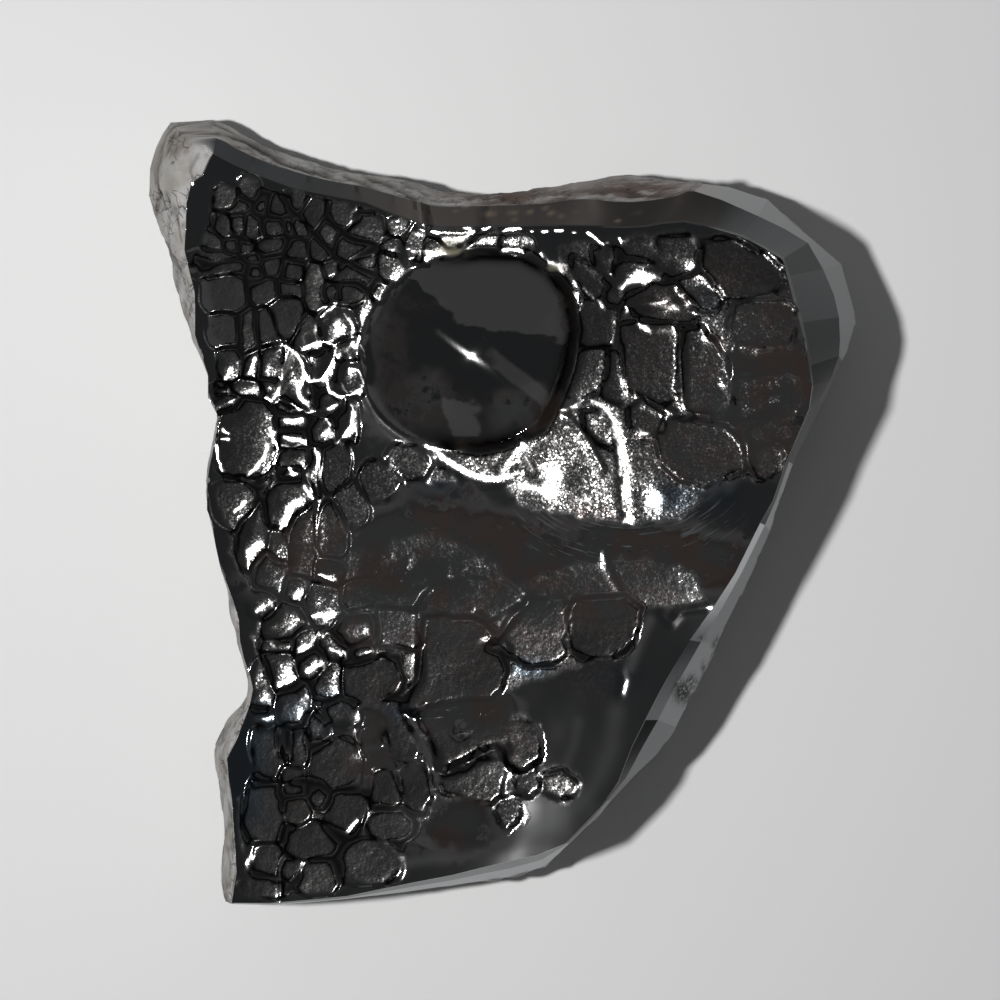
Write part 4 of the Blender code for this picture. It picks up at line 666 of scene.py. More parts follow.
def skin_depth(u, v):
    """How far inside its cell or plate each spot lies, in plan steps, its offset and its style."""
    u, v = (u + WAVER * (ripple(u, v, 30, 1) + 0.5 * ripple(u, v, 13, 2)),
            v + WAVER * (ripple(u, v, 30, 3) + 0.5 * ripple(u, v, 13, 4)))
    first = np.full(u.shape, 60.0)
    second = np.full(u.shape, 60.0)
    right, up = np.zeros(u.shape), np.zeros(u.shape)
    styles = np.zeros((7, *u.shape))
    for distance, middle, style in skin_members(u, v):
        closer = distance < first
        second = np.where(closer, first, np.minimum(second, distance))
        right = np.where(closer, u - middle[0], right)
        up = np.where(closer, middle[1] - v, up)
        styles[:, closer] = np.array(style)[:, None]
        first = np.where(closer, distance, first)
    return np.minimum((second - first) / 2, styles[4] - first), right, up, styles


def skin_relief(u, v):
    """Height of the cells and plates, which meet along furrows."""
    inward, right, up, styles = skin_depth(u, v)
    slope, reach, furrow, half_width, _, tip_right, tip_up = styles
    reach, half_width = np.maximum(reach, 1.0), np.maximum(half_width, 1.0)
    crown = slope * reach * GRID / 2 * bulge(inward / reach)
    tip = GRID * (tip_right * right + tip_up * up)
    return crown + furrow * smooth_step(inward / half_width) + tip * smooth_step(inward / STEP_WIDTH)


def dome_waves(turn):
    """The round waves, by turn about the dome's middle, that its outline is made up of."""
    turns = [np.ones(np.shape(turn))]
    for number in range(1, DOME_WAVES + 1):
        turns += [np.cos(number * turn), np.sin(number * turn)]
    return np.stack(turns, axis=-1)


def dome_relief(u, v):
    """Height of the polished dome, with a moat where it meets the skin."""
    across, down = np.transpose(DOME_OUTLINE) - np.reshape(DOME_MIDDLE, (2, 1))
    waves = dome_waves(np.arctan2(down, across))
    strengths = np.linalg.lstsq(waves, np.hypot(across, down), rcond=None)[0]
    across, down = u - DOME_MIDDLE[0], v - DOME_MIDDLE[1]
    out = np.hypot(across, down) / (dome_waves(np.arctan2(down, across)) @ strengths)
    cap = DOME_HEIGHT * (1.0 - out * out) * smooth_step((1.0 - out) / DOME_FOOT)
    moat = MOAT_DEPTH * np.exp(-((out - MOAT_PLACE) / MOAT_WIDTH) ** 2)
    return cap - moat


def face_height(u, v):
    """Height of the worked face in millimetres."""
    height = FACE_SHEET(u, v) + dome_relief(u, v)
    from_dome = smooth_step(distance_to_outline(u, v, DOME_OUTLINE) / DOME_BORDER + 0.5)
    height = height + skin_relief(u, v) * from_dome
    for seed, (size, rise) in enumerate(SWELLS, 7):
        height = height + rise * ripple(u, v, size, seed) * from_dome
    for width, rise, points in RIDGES:
        height = height + rise * np.exp(-(distance_to_line(u, v, points) / width) ** 2)
    for width, depth, points in GROOVES:
        height = height - depth * np.exp(-(distance_to_line(u, v, points) / width) ** 2)
    for cu, cv, width, length, depth in HOLLOWS:
        out = ((u - cu) / (width / 2)) ** 2 + ((v - cv) / (length / 2)) ** 2
        height = height - depth * np.exp(-out ** 2)
    for cu, cv, width, length, tip_right, tip_up in TIPPED_PLACES:
        out = ((u - cu) / (width / 2)) ** 2 + ((v - cv) / (length / 2)) ** 2
        height = height + GRID * (tip_right * (u - cu) + tip_up * (cv - v)) * np.exp(-out)
    return height


def rim_stations(spacing):
    """Points along the rim, each with the side numbers it lies between and its share of the way."""
    corner = {side[0]: number for number, side in enumerate(SIDES)}
    lengths = [0.0]
    for (au, av), (bu, bv) in zip(RIM, RIM[1:] + RIM[:1]):
        lengths.append(lengths[-1] + math.hypot(bu - au, bv - av))
    marks = [lengths[RIM.index(side[0])] for side in SIDES] + [lengths[-1]]
    stations = []
    for index, (start, end) in enumerate(zip(RIM, RIM[1:] + RIM[:1])):
        steps = max(1, round((lengths[index + 1] - lengths[index]) * GRID / spacing))
        for step in range(steps):
            share = step / steps
            along = lengths[index] + share * (lengths[index + 1] - lengths[index])
            spot = (start[0] + share * (end[0] - start[0]), start[1] + share * (end[1] - start[1]))
            number = corner.get(start, None) if step == 0 else None
            if number is None:
                number = max(n for n in range(len(SIDES)) if marks[n] <= along + 1e-6)
            part = (along - marks[number]) / (marks[number + 1] - marks[number])
            stations.append((spot, number, part))
    return stations


def between(number, part, line):
    """Place on a side line between two of the given sides: straight if worked, curved if natural."""
    before, start, end, after = (np.array(SIDES[(number + step) % len(SIDES)][line])
                                 for step in (-1, 0, 1, 2))
    straight = start + part * (end - start)
    first, last = NATURAL_SIDES
    if last <= number < first:
        return straight
    bend = (1.0 - part) * (2 * start - before - end) + part * (2 * end - start - after)
    return straight + 0.5 * part * (1.0 - part) * bend


def is_natural(number, level):
    """Whether the band under this ring, after this side, is left rough."""
    if level >= 2:
        return True
    first, last = GROUND_BANDS
    if level == 0 and first <= number < last:
        return False
    first, last = NATURAL_SIDES
    return number >= first or number < last


def side_rings(stations, rim_heights):
    """Rings of (x, y, z) in millimetres from the rim down to the edge of the underside."""
    rim, edge, wide, low, base = [], [], [], [], []
    for (spot, number, part), height in zip(stations, rim_heights):
        rim.append((*from_plan(*spot, height), height))
        below = between(number, part, 1)
        edge.append((*from_plan(*below), min(below[2], height - EDGE_DROP)))
        out = between(number, part, 2)
        x, y = from_plan(*out)
        wide.append((x, y, out[2]))
        low.append((x * LOW_SHRINK, y * LOW_SHRINK, LOW_LEVEL))
        base.append((x * BASE_SHRINK, y * BASE_SHRINK, 0.0))
    return [np.array(ring) for ring in (rim, edge, wide, low, base)]


def side_row(rings, level, share, natural):
    """One row of points between two rings: straight on worked sides, curved on natural ones."""
    above, upper, lower, below = (rings[min(max(level + step, 0), 4)] for step in (-1, 0, 1, 2))
    straight = upper + share * (lower - upper)
    curved = straight + 0.5 * share * (1.0 - share) * (
        (1.0 - share) * (2 * upper - above - lower) + share * (2 * lower - upper - below))
    return np.where(np.array(natural)[:, None], curved, straight)


def side_relief(point):
    """Relief of a natural side in millimetres: broad swells with broken ledges on them."""
    swell = noise.fractal(point * SWELL_PITCH, 1.0, 2.0, 2)
    chips = noise.ridged_multi_fractal(point * CHIP_PITCH, 1.0, 2.1, 3, 1.0, 2.0) - 1.0
    return SIDE_SWELL * swell + SIDE_CHIPS * chips


def roughen(row, level, share, natural):
    """Push the natural points of a row out and in: gently in the upper bands, fully lower down."""
    strength = (share, 1.0, 1.0 + share, 2.0 - share)[level] * UPPER_CALM
    points = []
    for place, rough in zip(row, natural):
        point = Vector(place)
        if rough:
            outward = Vector((point.x, point.y, 0.0)).normalized()
            point += outward * strength * side_relief(point)
        points.append(tuple(point))
    return points


def lattice_points():
    """Plan points of a triangular lattice inside the rim, closer together on the small cells."""
    step = FINE_SPACING / GRID
    row_step = step * math.sqrt(3) / 2
    rows = []
    for row in range(int(800 / row_step)):
        u = 170 + np.arange(int(670 / step)) * step + (row % 2) * step / 2
        v = 130 + row * row_step
        fine = (u < 372) | ((v < 250) & (u < 640))
        sparse = (row % 2 == 0) & (np.arange(len(u)) % 2 == (row // 2) % 2)
        u = u[fine | sparse]
        rows.append(np.stack([u, np.full(u.shape, v)], axis=1))
    spots = np.concatenate(rows)
    return spots[distance_to_outline(spots[:, 0], spots[:, 1], RIM) < -step * RIM_CLEARANCE]


def painted_facet_shade(number, level):
    """Painted shade of the facet under this side number and ring: how much it reflects."""
    for first, last, upper, lower in FACET_PAINTED_SHADES:
        if first <= number < last:
            return upper if level == 0 else lower
    return 0.2


def stone_mesh():
    """The closed surface: points in mm, faces, natural and ground shares, painted facet shades and plan spots.
    """
    stations = rim_stations(SIDE_SPACING)
    rim_u = np.array([spot[0] for spot, _, _ in stations])
    rim_v = np.array([spot[1] for spot, _, _ in stations])
    rings = side_rings(stations, face_height(rim_u, rim_v))
    count = len(stations)

    points = [tuple(point) for point in rings[0]]
    levels = []
    rough_share = [0.0] * count
    for level, (upper, lower) in enumerate(zip(rings, rings[1:])):
        natural = [is_natural(number, level) for _, number, _ in stations]
        steps = max(1, round(np.linalg.norm(upper - lower, axis=1).max() / SIDE_ROW))
        for step in range(1, steps + 1):
            levels.append(level)
            row = side_row(rings, level, step / steps, natural)
            points += roughen(row, level, step / steps, natural)
            rough_share += [float(rough) for rough in natural]
    points[-count:] = [tuple(place) for place in rings[-1]]
    side_count = len(points)
    rows = side_count // count
    faces = []
    facet_shades = []
    for row in range(rows - 1):
        for index in range(count):
            after = (index + 1) % count
            a, b = row * count + index, row * count + after
            faces.append((a, b, b + count, a + count))
            facet_shades.append(painted_facet_shade(stations[index][1], levels[row]))

    last = side_count - count
    ring = [(index, (index + 1) % count) for index in range(count)]
    base = [Vector(point[:2]) for point in points[last:]]
    triangles, origins = delaunay_2d_cdt(base, ring, [], 1, 1e-4)[2:4]
    faces += [tuple(last + origins[corner][0] for corner in reversed(triangle))
              for triangle in triangles]

    inner = lattice_points()
    heights = face_height(inner[:, 0], inner[:, 1])
    spots = [Vector(spot) for spot, _, _ in stations] + [Vector(spot) for spot in inner]
    triangles, origins = delaunay_2d_cdt(spots, ring, [], 1, 1e-4)[2:4]
    x, y = from_plan(inner[:, 0], inner[:, 1], heights)
    points += list(zip(x, y, heights))
    index_of = [origin[0] if origin[0] < count else side_count + origin[0] - count
                for origin in origins]
    faces += [tuple(index_of[corner] for corner in triangle) for triangle in triangles]

    rough_share = np.array(rough_share + [0.0] * len(inner))
    ground_share = np.where(rough_share > 0.5, 0.0, 1.0)
    ground_share[:count] = 0.0
    ground_share[side_count:] = 0.0
    plan = np.full((len(points), 2), -1000.0)
    plan[:count] = np.stack([rim_u, rim_v], axis=1)
    plan[side_count:] = inner
    facet_shades += [0.0] * (len(faces) - len(facet_shades))
    return points, faces, rough_share, ground_share, facet_shades, plan


def grain_spread(u, v):
    """How far the satin skin's grains lean away from the surface, as a slope."""
    leaning = np.full(u.shape, 0.10)
    for outline, amount in SPARKLE_FIELDS:
        inside = blur(distance_to_outline(u, v, outline), 16.0)
        leaning = leaning + inside * (amount - leaning)
    return leaning


def blur(distance, width):
    """1 inside an outline, 0 outside it, with a soft border of that width."""
    return smooth_step(0.5 - distance / width)


def dullness(u, v):
    """1 where the skin is natural and satin, 0 where it is polished like a mirror."""
    nearest = np.full(u.shape, 60.0)
    for distance, _, _ in skin_members(u, v):
        nearest = np.minimum(nearest, distance)
    for outline in DULL_FIELDS:
        nearest = np.minimum(nearest, distance_to_outline(u, v, outline))
    return blur(nearest - 3.0 + 5.0 * ripple(u, v, 14, 5) + 2.5 * ripple(u, v, 6, 6), 9.0)


def spread(spots, u, v):
    """Strength of a set of soft oval spots at each plan position."""
    total = np.zeros(u.shape)
    for cu, cv, width, height, strength in spots:
        out = ((u - cu) / (width / 2)) ** 2 + ((v - cv) / (height / 2)) ** 2
        total = np.maximum(total, strength * np.exp(-out ** 1.5 * 0.7))
    return total


def drawn(lines, u, v):
    """Strength of a set of soft drawn lines at each plan position."""
    total = np.zeros(u.shape)
    for width, strength, points in lines:
        total = np.maximum(total, strength * np.exp(-(distance_to_line(u, v, points) / width) ** 2))
    return total


def painted_glint_lean(places):
    """Painted glint: rise to the right and rise up the plan of a small face that looks half way from lamp to
    eye.
    """
    total = np.zeros(places.shape)
    for end in (EYE, LAMP):
        ray = np.array(end) - places
        total = total + ray / np.linalg.norm(ray, axis=1, keepdims=True)
    return total[:, 0] / total[:, 2], total[:, 1] / total[:, 2]


def skin_marks(points, plan, rough_share, ground_share):
    """Each named mark of the surface with its value at every point."""
    u, v = plan[:, 0], plan[:, 1]
    on_face = u > -999
    furrow_depth = skin_depth(u, v)[0]
    calm = np.zeros(u.shape)
    for outline in CALM_FIELDS:
        calm = np.maximum(calm, blur(distance_to_outline(u, v, outline), 16.0))
    width = 2.9 + 1.2 * calm + 0.9 * ripple(u, v, 22, 21) + 0.6 * ripple(u, v, 7, 22)
    # painted shade: the furrows get a darkening mark, which also hides glints on their flanks
    furrow = np.exp(-(furrow_depth / width) ** 2) * dullness(u, v)
    furrow = furrow * smooth_step(0.75 + 0.6 * ripple(u, v, 16, 23))
    for width, _, line in RIDGES:
        furrow = furrow * smooth_step(distance_to_line(u, v, line) / width - 0.5)
    clay = spread(CLAY, u, v)
    # painted shade in the moat on the dome's right, hiding the bright ring at its foot
    moat = np.exp(-((distance_to_outline(u, v, DOME_OUTLINE) - 2.0) / 7.0) ** 2)
    moat = np.minimum(1.5 * moat, 1.0)
    furrow = np.maximum(furrow, moat * smooth_step((u - 420.0) / 60.0) * (1.0 - clay))
    loose_u = u + 9.0 * ripple(u, v, 26, 31) + 5.0 * ripple(u, v, 9, 32)
    loose_v = v + 9.0 * ripple(u, v, 26, 33) + 5.0 * ripple(u, v, 9, 34)
    # painted glints: drawn lines whose normal turns towards the lamp, clearing the furrow shade there
    glint = drawn(PAINTED_GLINT_LINES, u + 1.2 * ripple(u, v, 5, 41), v + 1.2 * ripple(u, v, 5, 42))
    furrow = furrow * (1.0 - glint)
    places = np.array(points)
    glint_right, glint_up = painted_glint_lean(places / 1000.0)
    top_band = smooth_step((places[:, 1] - 22.0) / 3.0) * smooth_step((24.0 - places[:, 0]) / 4.0)
    brown = top_band * smooth_step((places[:, 0] + 22.0) / 14.0)
    scale = GRID * (EYE_LEVEL - places[:, 2]) / (EYE_LEVEL - PLAN_LEVEL)
    side_u = PLAN_MIDDLE[0] + (places[:, 0] - CENTRE_SHIFT[0]) / scale
    side_v = PLAN_MIDDLE[1] - (places[:, 1] - CENTRE_SHIFT[1]) / scale
    waver = ripple(side_u, side_v, 9, 11) + 0.6 * ripple(side_u, side_v, 4, 12)
    vein = drawn(VEINS, side_u + waver, side_v + 0.8 * waver)
    return {
        "natural": rough_share,
        "ground": ground_share,
        "dull": np.where(on_face, dullness(u, v), 0.0),
        "grain": np.where(on_face, grain_spread(u, v), 0.0),
        "furrow": np.where(on_face, furrow, 0.0),
        "rust": np.where(on_face, spread(RUST, loose_u, loose_v), 0.0),
        "clay": np.where(on_face, clay, 0.0),
        "blue": np.where(on_face, spread(BLUE, u, v), 0.0),
        "matte": np.where(on_face, spread(MATTE, loose_u, loose_v) * (1.0 - glint), 0.0),
        "streak": np.where(on_face, blur(distance_to_outline(u, v, DOME_OUTLINE) - 1.0, 5.0), 0.0),
        "glint": np.where(on_face, glint, 0.0),
        "glint right": glint_right,
        "glint up": glint_up,
        "highlight_line": np.where(on_face, drawn(PAINTED_HIGHLIGHT_LINE, u, v), 0.0),
        "stain": np.where(on_face, spread(STAINS, loose_u, loose_v), 0.0),
        "brown": np.where(on_face, 0.0, brown),
        "vein": np.where(on_face, 0.0, vein),
        "pale": np.where(on_face, 0.0, drawn(PALE_STREAKS, side_u, side_v + 0.8 * waver)),
        "red": np.where(on_face, 0.0, spread(RED_PLACES, side_u, side_v)),
        "speck": np.where(on_face, 0.0, spread(SPECKS, side_u + waver, side_v + 0.5 * waver)),
        "chip": np.where(on_face, 0.0, spread(CHIPS, side_u + 2 * waver, side_v + waver)),
        "reflection_band": np.where(on_face, drawn(PAINTED_REFLECTION_BANDS, u, v), 0.0),
        "scratch_glint": np.where(on_face, spread(SCRATCH_GLINT_PLACES, u, v), 0.0),
    }


def mark_creases(mesh, ground_share, stations):
    """Keep the edges between the ground facets sharp."""
    verts = np.array([vert.co for vert in mesh.vertices])
    count = len(stations)
    worked = (ground_share > 0.5) | (np.arange(len(verts)) < count)
    rounded = {side for side in range(count) if stations[side][1] < ROUND_BAND_END}
    normals = {}
    for face in mesh.polygons:
        for key in face.edge_keys:
            normals.setdefault(key, []).append((face.normal.copy(), face.index))
    sharp = mesh.attributes.new("sharp_edge", "BOOLEAN", "EDGE")
    flags = []
    for edge in mesh.edges:
        key = tuple(sorted(edge.vertices))
        sides = normals.get(key, [])
        in_band = all(index < BAND_ROWS * count and index % count in rounded for _, index in sides)
        least = BAND_CREASE_ANGLE if in_band else CREASE_ANGLE
        crease = (len(sides) == 2 and worked[key[0]] and worked[key[1]]
                  and sides[0][0].angle(sides[1][0], 0.0) > least)
        flags.append(crease)
    sharp.data.foreach_set("value", flags)


def fracture_tree(material):
    """Geometry nodes that roughen the natural parts: broken lumps with fine cracks between them."""
    tree = bpy.data.node_groups.new("natural fracture", "GeometryNodeTree")
    face = tree.interface
    face.new_socket("Stone", in_out="INPUT", socket_type="NodeSocketGeometry")
    for name, value in (("Lump height", 0.00022), ("Lump size", 520.0), ("Crack depth", 0.00016),
                        ("Crack spacing", 260.0), ("Vein depth", 0.00025), ("Seed", 4.0)):
        socket = face.new_socket(name, in_out="INPUT", socket_type="NodeSocketFloat")
        socket.default_value = value
    face.new_socket("Stone", in_out="OUTPUT", socket_type="NodeSocketGeometry")
    wire = Wiring(tree)
    given = wire.add("NodeGroupInput").outputs
    natural = wire.add("GeometryNodeInputNamedAttribute", data_type="FLOAT")
    natural.inputs["Name"].default_value = "natural"

    place = wire.add("GeometryNodeInputPosition").outputs[0]
    lumps = wire.add("ShaderNodeTexNoise", noise_dimensions="4D")
    wire.feed(lumps.inputs["Vector"], place)
    wire.feed(lumps.inputs["W"], given["Seed"])
    wire.feed(lumps.inputs["Scale"], given["Lump size"])
    lumps.inputs["Detail"].default_value = 4.0
    bent = wire.add("ShaderNodeVectorMath", operation="MULTIPLY_ADD")
    wire.feed(bent.inputs[0], lumps.outputs["Color"])
    bent.inputs[1].default_value = (0.003, 0.003, 0.003)
    wire.feed(bent.inputs[2], place)
    cracks = wire.add("ShaderNodeTexVoronoi", voronoi_dimensions="4D", feature="DISTANCE_TO_EDGE")
    wire.feed(cracks.inputs["Vector"], bent.outputs[0])
    wire.feed(cracks.inputs["W"], given["Seed"])
    wire.feed(cracks.inputs["Scale"], given["Crack spacing"])

    lump = wire.maths("MULTIPLY", wire.maths("SUBTRACT", lumps.outputs["Fac"], 0.5),
                      given["Lump height"])
    open_crack = wire.maths("SUBTRACT", 1.0, wire.between(cracks.outputs["Distance"], 0.0, 0.07))
    height = wire.maths("SUBTRACT", wire.maths("MULTIPLY", lump, 2.0),
                        wire.maths("MULTIPLY", open_crack, given["Crack depth"]))
    vein = wire.add("GeometryNodeInputNamedAttribute", data_type="FLOAT")
    vein.inputs["Name"].default_value = "vein"
    height = wire.maths("SUBTRACT", height, wire.maths("MULTIPLY", vein.outputs["Attribute"],
                                                       given["Vein depth"]))
    height = wire.maths("MULTIPLY", height, natural.outputs["Attribute"])
    push = wire.add("ShaderNodeVectorMath", operation="SCALE")
    wire.feed(push.inputs[0], wire.add("GeometryNodeInputNormal").outputs[0])
    wire.feed(push.inputs["Scale"], height)

    moved = wire.add("GeometryNodeSetPosition")
    wire.feed(moved.inputs["Geometry"], given["Stone"])
    wire.feed(moved.inputs["Offset"], push.outputs[0])
    marked = wire.add("GeometryNodeStoreNamedAttribute", data_type="FLOAT", domain="POINT")
    wire.feed(marked.inputs["Geometry"], moved.outputs[0])
    marked.inputs["Name"].default_value = "crack"
    wire.feed(marked.inputs["Value"],
              wire.maths("MULTIPLY", open_crack, natural.outputs["Attribute"]))
    plain = wire.add("GeometryNodeRealizeInstances")
    wire.feed(plain.inputs[0], marked.outputs[0])
    dressed = wire.add("GeometryNodeSetMaterial")
    wire.feed(dressed.inputs["Geometry"], plain.outputs[0])
    dressed.inputs["Material"].default_value = material
    wire.feed(wire.add("NodeGroupOutput").inputs["Stone"], dressed.outputs[0])
    return tree


def build_stone(material):
    points, faces, rough_share, ground_share, facet_shades, plan = stone_mesh()
    mesh = bpy.data.meshes.new("hematite_stone_skin")
    mesh.from_pydata([(x / 1000, y / 1000, z / 1000) for x, y, z in points], [], faces)
    mesh.update()
    for name, values in skin_marks(points, plan, rough_share, ground_share).items():
        layer = mesh.attributes.new(name, "FLOAT", "POINT")
        layer.data.foreach_set("value", np.asarray(values, dtype=np.float32))
    facet_shade = mesh.attributes.new("facet_shade", "FLOAT", "FACE")
    facet_shade.data.foreach_set("value", np.asarray(facet_shades, dtype=np.float32))
    mesh.materials.append(material)
    mesh.shade_smooth()
    mark_creases(mesh, ground_share, rim_stations(SIDE_SPACING))
    stone = bpy.data.objects.new("hematite_stone_skin", mesh)
    bpy.context.scene.collection.objects.link(stone)

    rough = stone.modifiers.new("natural fracture", "NODES")
    rough.node_group = fracture_tree(material)
    bpy.context.view_layer.update()
    shaped = stone.evaluated_get(bpy.context.evaluated_depsgraph_get())
    plain = bpy.data.meshes.new_from_object(shaped)
    stone.modifiers.remove(rough)
    stone.data = plain
    return stone


class Wiring:
    """Short ways to add and join shader nodes."""

    def __init__(self, tree):
        self.tree = tree
        self.made = 0

    def add(self, kind, **values):
        node = self.tree.nodes.new(kind)
        node.location = (220 * (self.made % 12), -260 * (self.made // 12))
        self.made += 1
        for name, value in values.items():
            setattr(node, name, value)
        return node

    def feed(self, socket, value):
        """Join an output to a socket, or set the socket to a plain value."""
        if isinstance(value, bpy.types.NodeSocket):
            self.tree.links.new(value, socket)
        else:
            socket.default_value = value

    def maths(self, operation, *values, clamp=False):
        node = self.add("ShaderNodeMath", operation=operation, use_clamp=clamp)
        for socket, value in zip(node.inputs, values):
            self.feed(socket, value)
        return node.outputs[0]

    def mark(self, name):
        return self.add("ShaderNodeAttribute", attribute_name=name).outputs["Fac"]

    def mix(self, share, first, second):
        node = self.add("ShaderNodeMix", data_type="RGBA")
        for socket, value in zip((node.inputs[0], node.inputs[6], node.inputs[7]),
                                 (share, first, second)):
            self.feed(socket, value)
        return node.outputs[2]

    def blend(self, share, first, second):
        node = self.add("ShaderNodeMix", data_type="FLOAT")
        for socket, value in zip((node.inputs[0], node.inputs[2], node.inputs[3]),
                                 (share, first, second)):
            self.feed(socket, value)
        return node.outputs[0]

    def cloud(self, place, scale, detail=2.0, rough=0.5):
        node = self.add("ShaderNodeTexNoise")
        for name, value in (("Vector", place), ("Scale", scale), ("Detail", detail),
                            ("Roughness", rough)):
            self.feed(node.inputs[name], value)
        return node.outputs["Fac"]

    def lean(self, normal, random_colour, amount):
        """Tip a normal by a random amount that stays the same all over one grain."""
        centred = self.add("ShaderNodeVectorMath", operation="SUBTRACT")
        self.feed(centred.inputs[0], random_colour)
        centred.inputs[1].default_value = (0.5, 0.5, 0.5)
        scaled = self.add("ShaderNodeVectorMath", operation="SCALE")
        self.feed(scaled.inputs[0], centred.outputs[0])
        self.feed(scaled.inputs["Scale"], amount)
        total = self.add("ShaderNodeVectorMath", operation="ADD")
        self.feed(total.inputs[0], normal)
        self.feed(total.inputs[1], scaled.outputs[0])
        unit = self.add("ShaderNodeVectorMath", operation="NORMALIZE")
        self.feed(unit.inputs[0], total.outputs[0])
        return unit.outputs[0]

    def between(self, value, low, high, smooth=True):
        node = self.add("ShaderNodeMapRange",
                        interpolation_type="SMOOTHSTEP" if smooth else "LINEAR")
        for name, given in (("Value", value), ("From Min", low), ("From Max", high)):
            self.feed(node.inputs[name], given)
        return node.outputs["Result"]


# Reflectance of the stone's finishes, and colours of its painted reflections and glints
MIRROR_BLACK = (0.225, 0.225, 0.225, 1)
SATIN_GREY = (0.088, 0.086, 0.084, 1)
RUST_RED = (0.15, 0.085, 0.072, 1)
STEEL_BLUE = (0.07, 0.12, 0.165, 1)
CLAY_YELLOW = (0.12, 0.11, 0.062, 1)
MATTE_DARK = (0.024, 0.0245, 0.0245, 1)
MATTE_RED = (0.029, 0.0225, 0.0205, 1)
OCHRE = (0.11, 0.085, 0.05, 1)
CHIP_DARK = (0.02, 0.02, 0.018, 1)
SCRATCH_GLINT_BLUE = (0.11, 0.14, 0.17, 1)
PAINTED_REFLECTION_GREY = (0.10, 0.105, 0.105, 1)
STAIN_BROWN = (0.013, 0.0095, 0.008, 1)
VEIN_RED = (0.035, 0.022, 0.018, 1)
FRACTURE_WARM = (0.34, 0.32, 0.29, 1)
FRACTURE_PALE = (0.42, 0.41, 0.40, 1)
GROUND_GREY = (0.97, 1.0, 1.02, 1)
GROUND_BROWN = (1.08, 0.98, 0.92, 1)
FRACTURE_GREY = (0.47, 0.46, 0.45, 1)
FRACTURE_RED = (0.090, 0.048, 0.034, 1)
CREASE_ANGLE = math.radians(9)
BAND_CREASE_ANGLE = math.radians(40)  # on the rounded band along the top
ROUND_BAND_END = 15                   # side number where that band ends
BAND_ROWS = 6                         # rows of faces that it can take up
POLISH_DIRECTION = (0.78, -0.62, 0.0)  # in which the polish of the dome smears its highlight


def curved_scratches(wire, place):
    """Fine lines that curve about one middle, broken here and there."""
    split = wire.add("ShaderNodeSeparateXYZ")
    wire.feed(split.inputs[0], place)
    right = wire.maths("SUBTRACT", split.outputs["X"], SCRATCH_MIDDLE[0])
    up = wire.maths("SUBTRACT", split.outputs["Y"], SCRATCH_MIDDLE[1])
    far = wire.maths("SQRT", wire.maths("ADD", wire.maths("MULTIPLY", right, right),
                                        wire.maths("MULTIPLY", up, up)))
    round_place = wire.add("ShaderNodeCombineXYZ")
    wire.feed(round_place.inputs["X"], wire.maths("MULTIPLY", far, 5.0))
    wire.feed(round_place.inputs["Y"],
              wire.maths("MULTIPLY", wire.maths("ARCTAN2", up, right), 0.0045))
    return wire.between(wire.cloud(round_place.outputs[0], 900.0, 3.0, 0.6), 0.54, 0.68)


def clefts(wire, place):
    """Fine broken lines between the lumps of a natural side."""
    strayed = wire.add("ShaderNodeVectorMath", operation="MULTIPLY_ADD")
    stray = wire.add("ShaderNodeTexNoise")
    wire.feed(stray.inputs["Vector"], place)
    stray.inputs["Scale"].default_value = 300.0
    wire.feed(strayed.inputs[0], stray.outputs["Color"])
    strayed.inputs[1].default_value = (0.004, 0.004, 0.004)
    wire.feed(strayed.inputs[2], place)
    lines = wire.add("ShaderNodeTexVoronoi", feature="DISTANCE_TO_EDGE")
    wire.feed(lines.inputs["Vector"], strayed.outputs[0])
    lines.inputs["Scale"].default_value = 700.0
    line = wire.between(lines.outputs["Distance"], 0.045, 0.01)
    return wire.maths("MULTIPLY", line, wire.between(wire.cloud(place, 330.0), 0.50, 0.62))


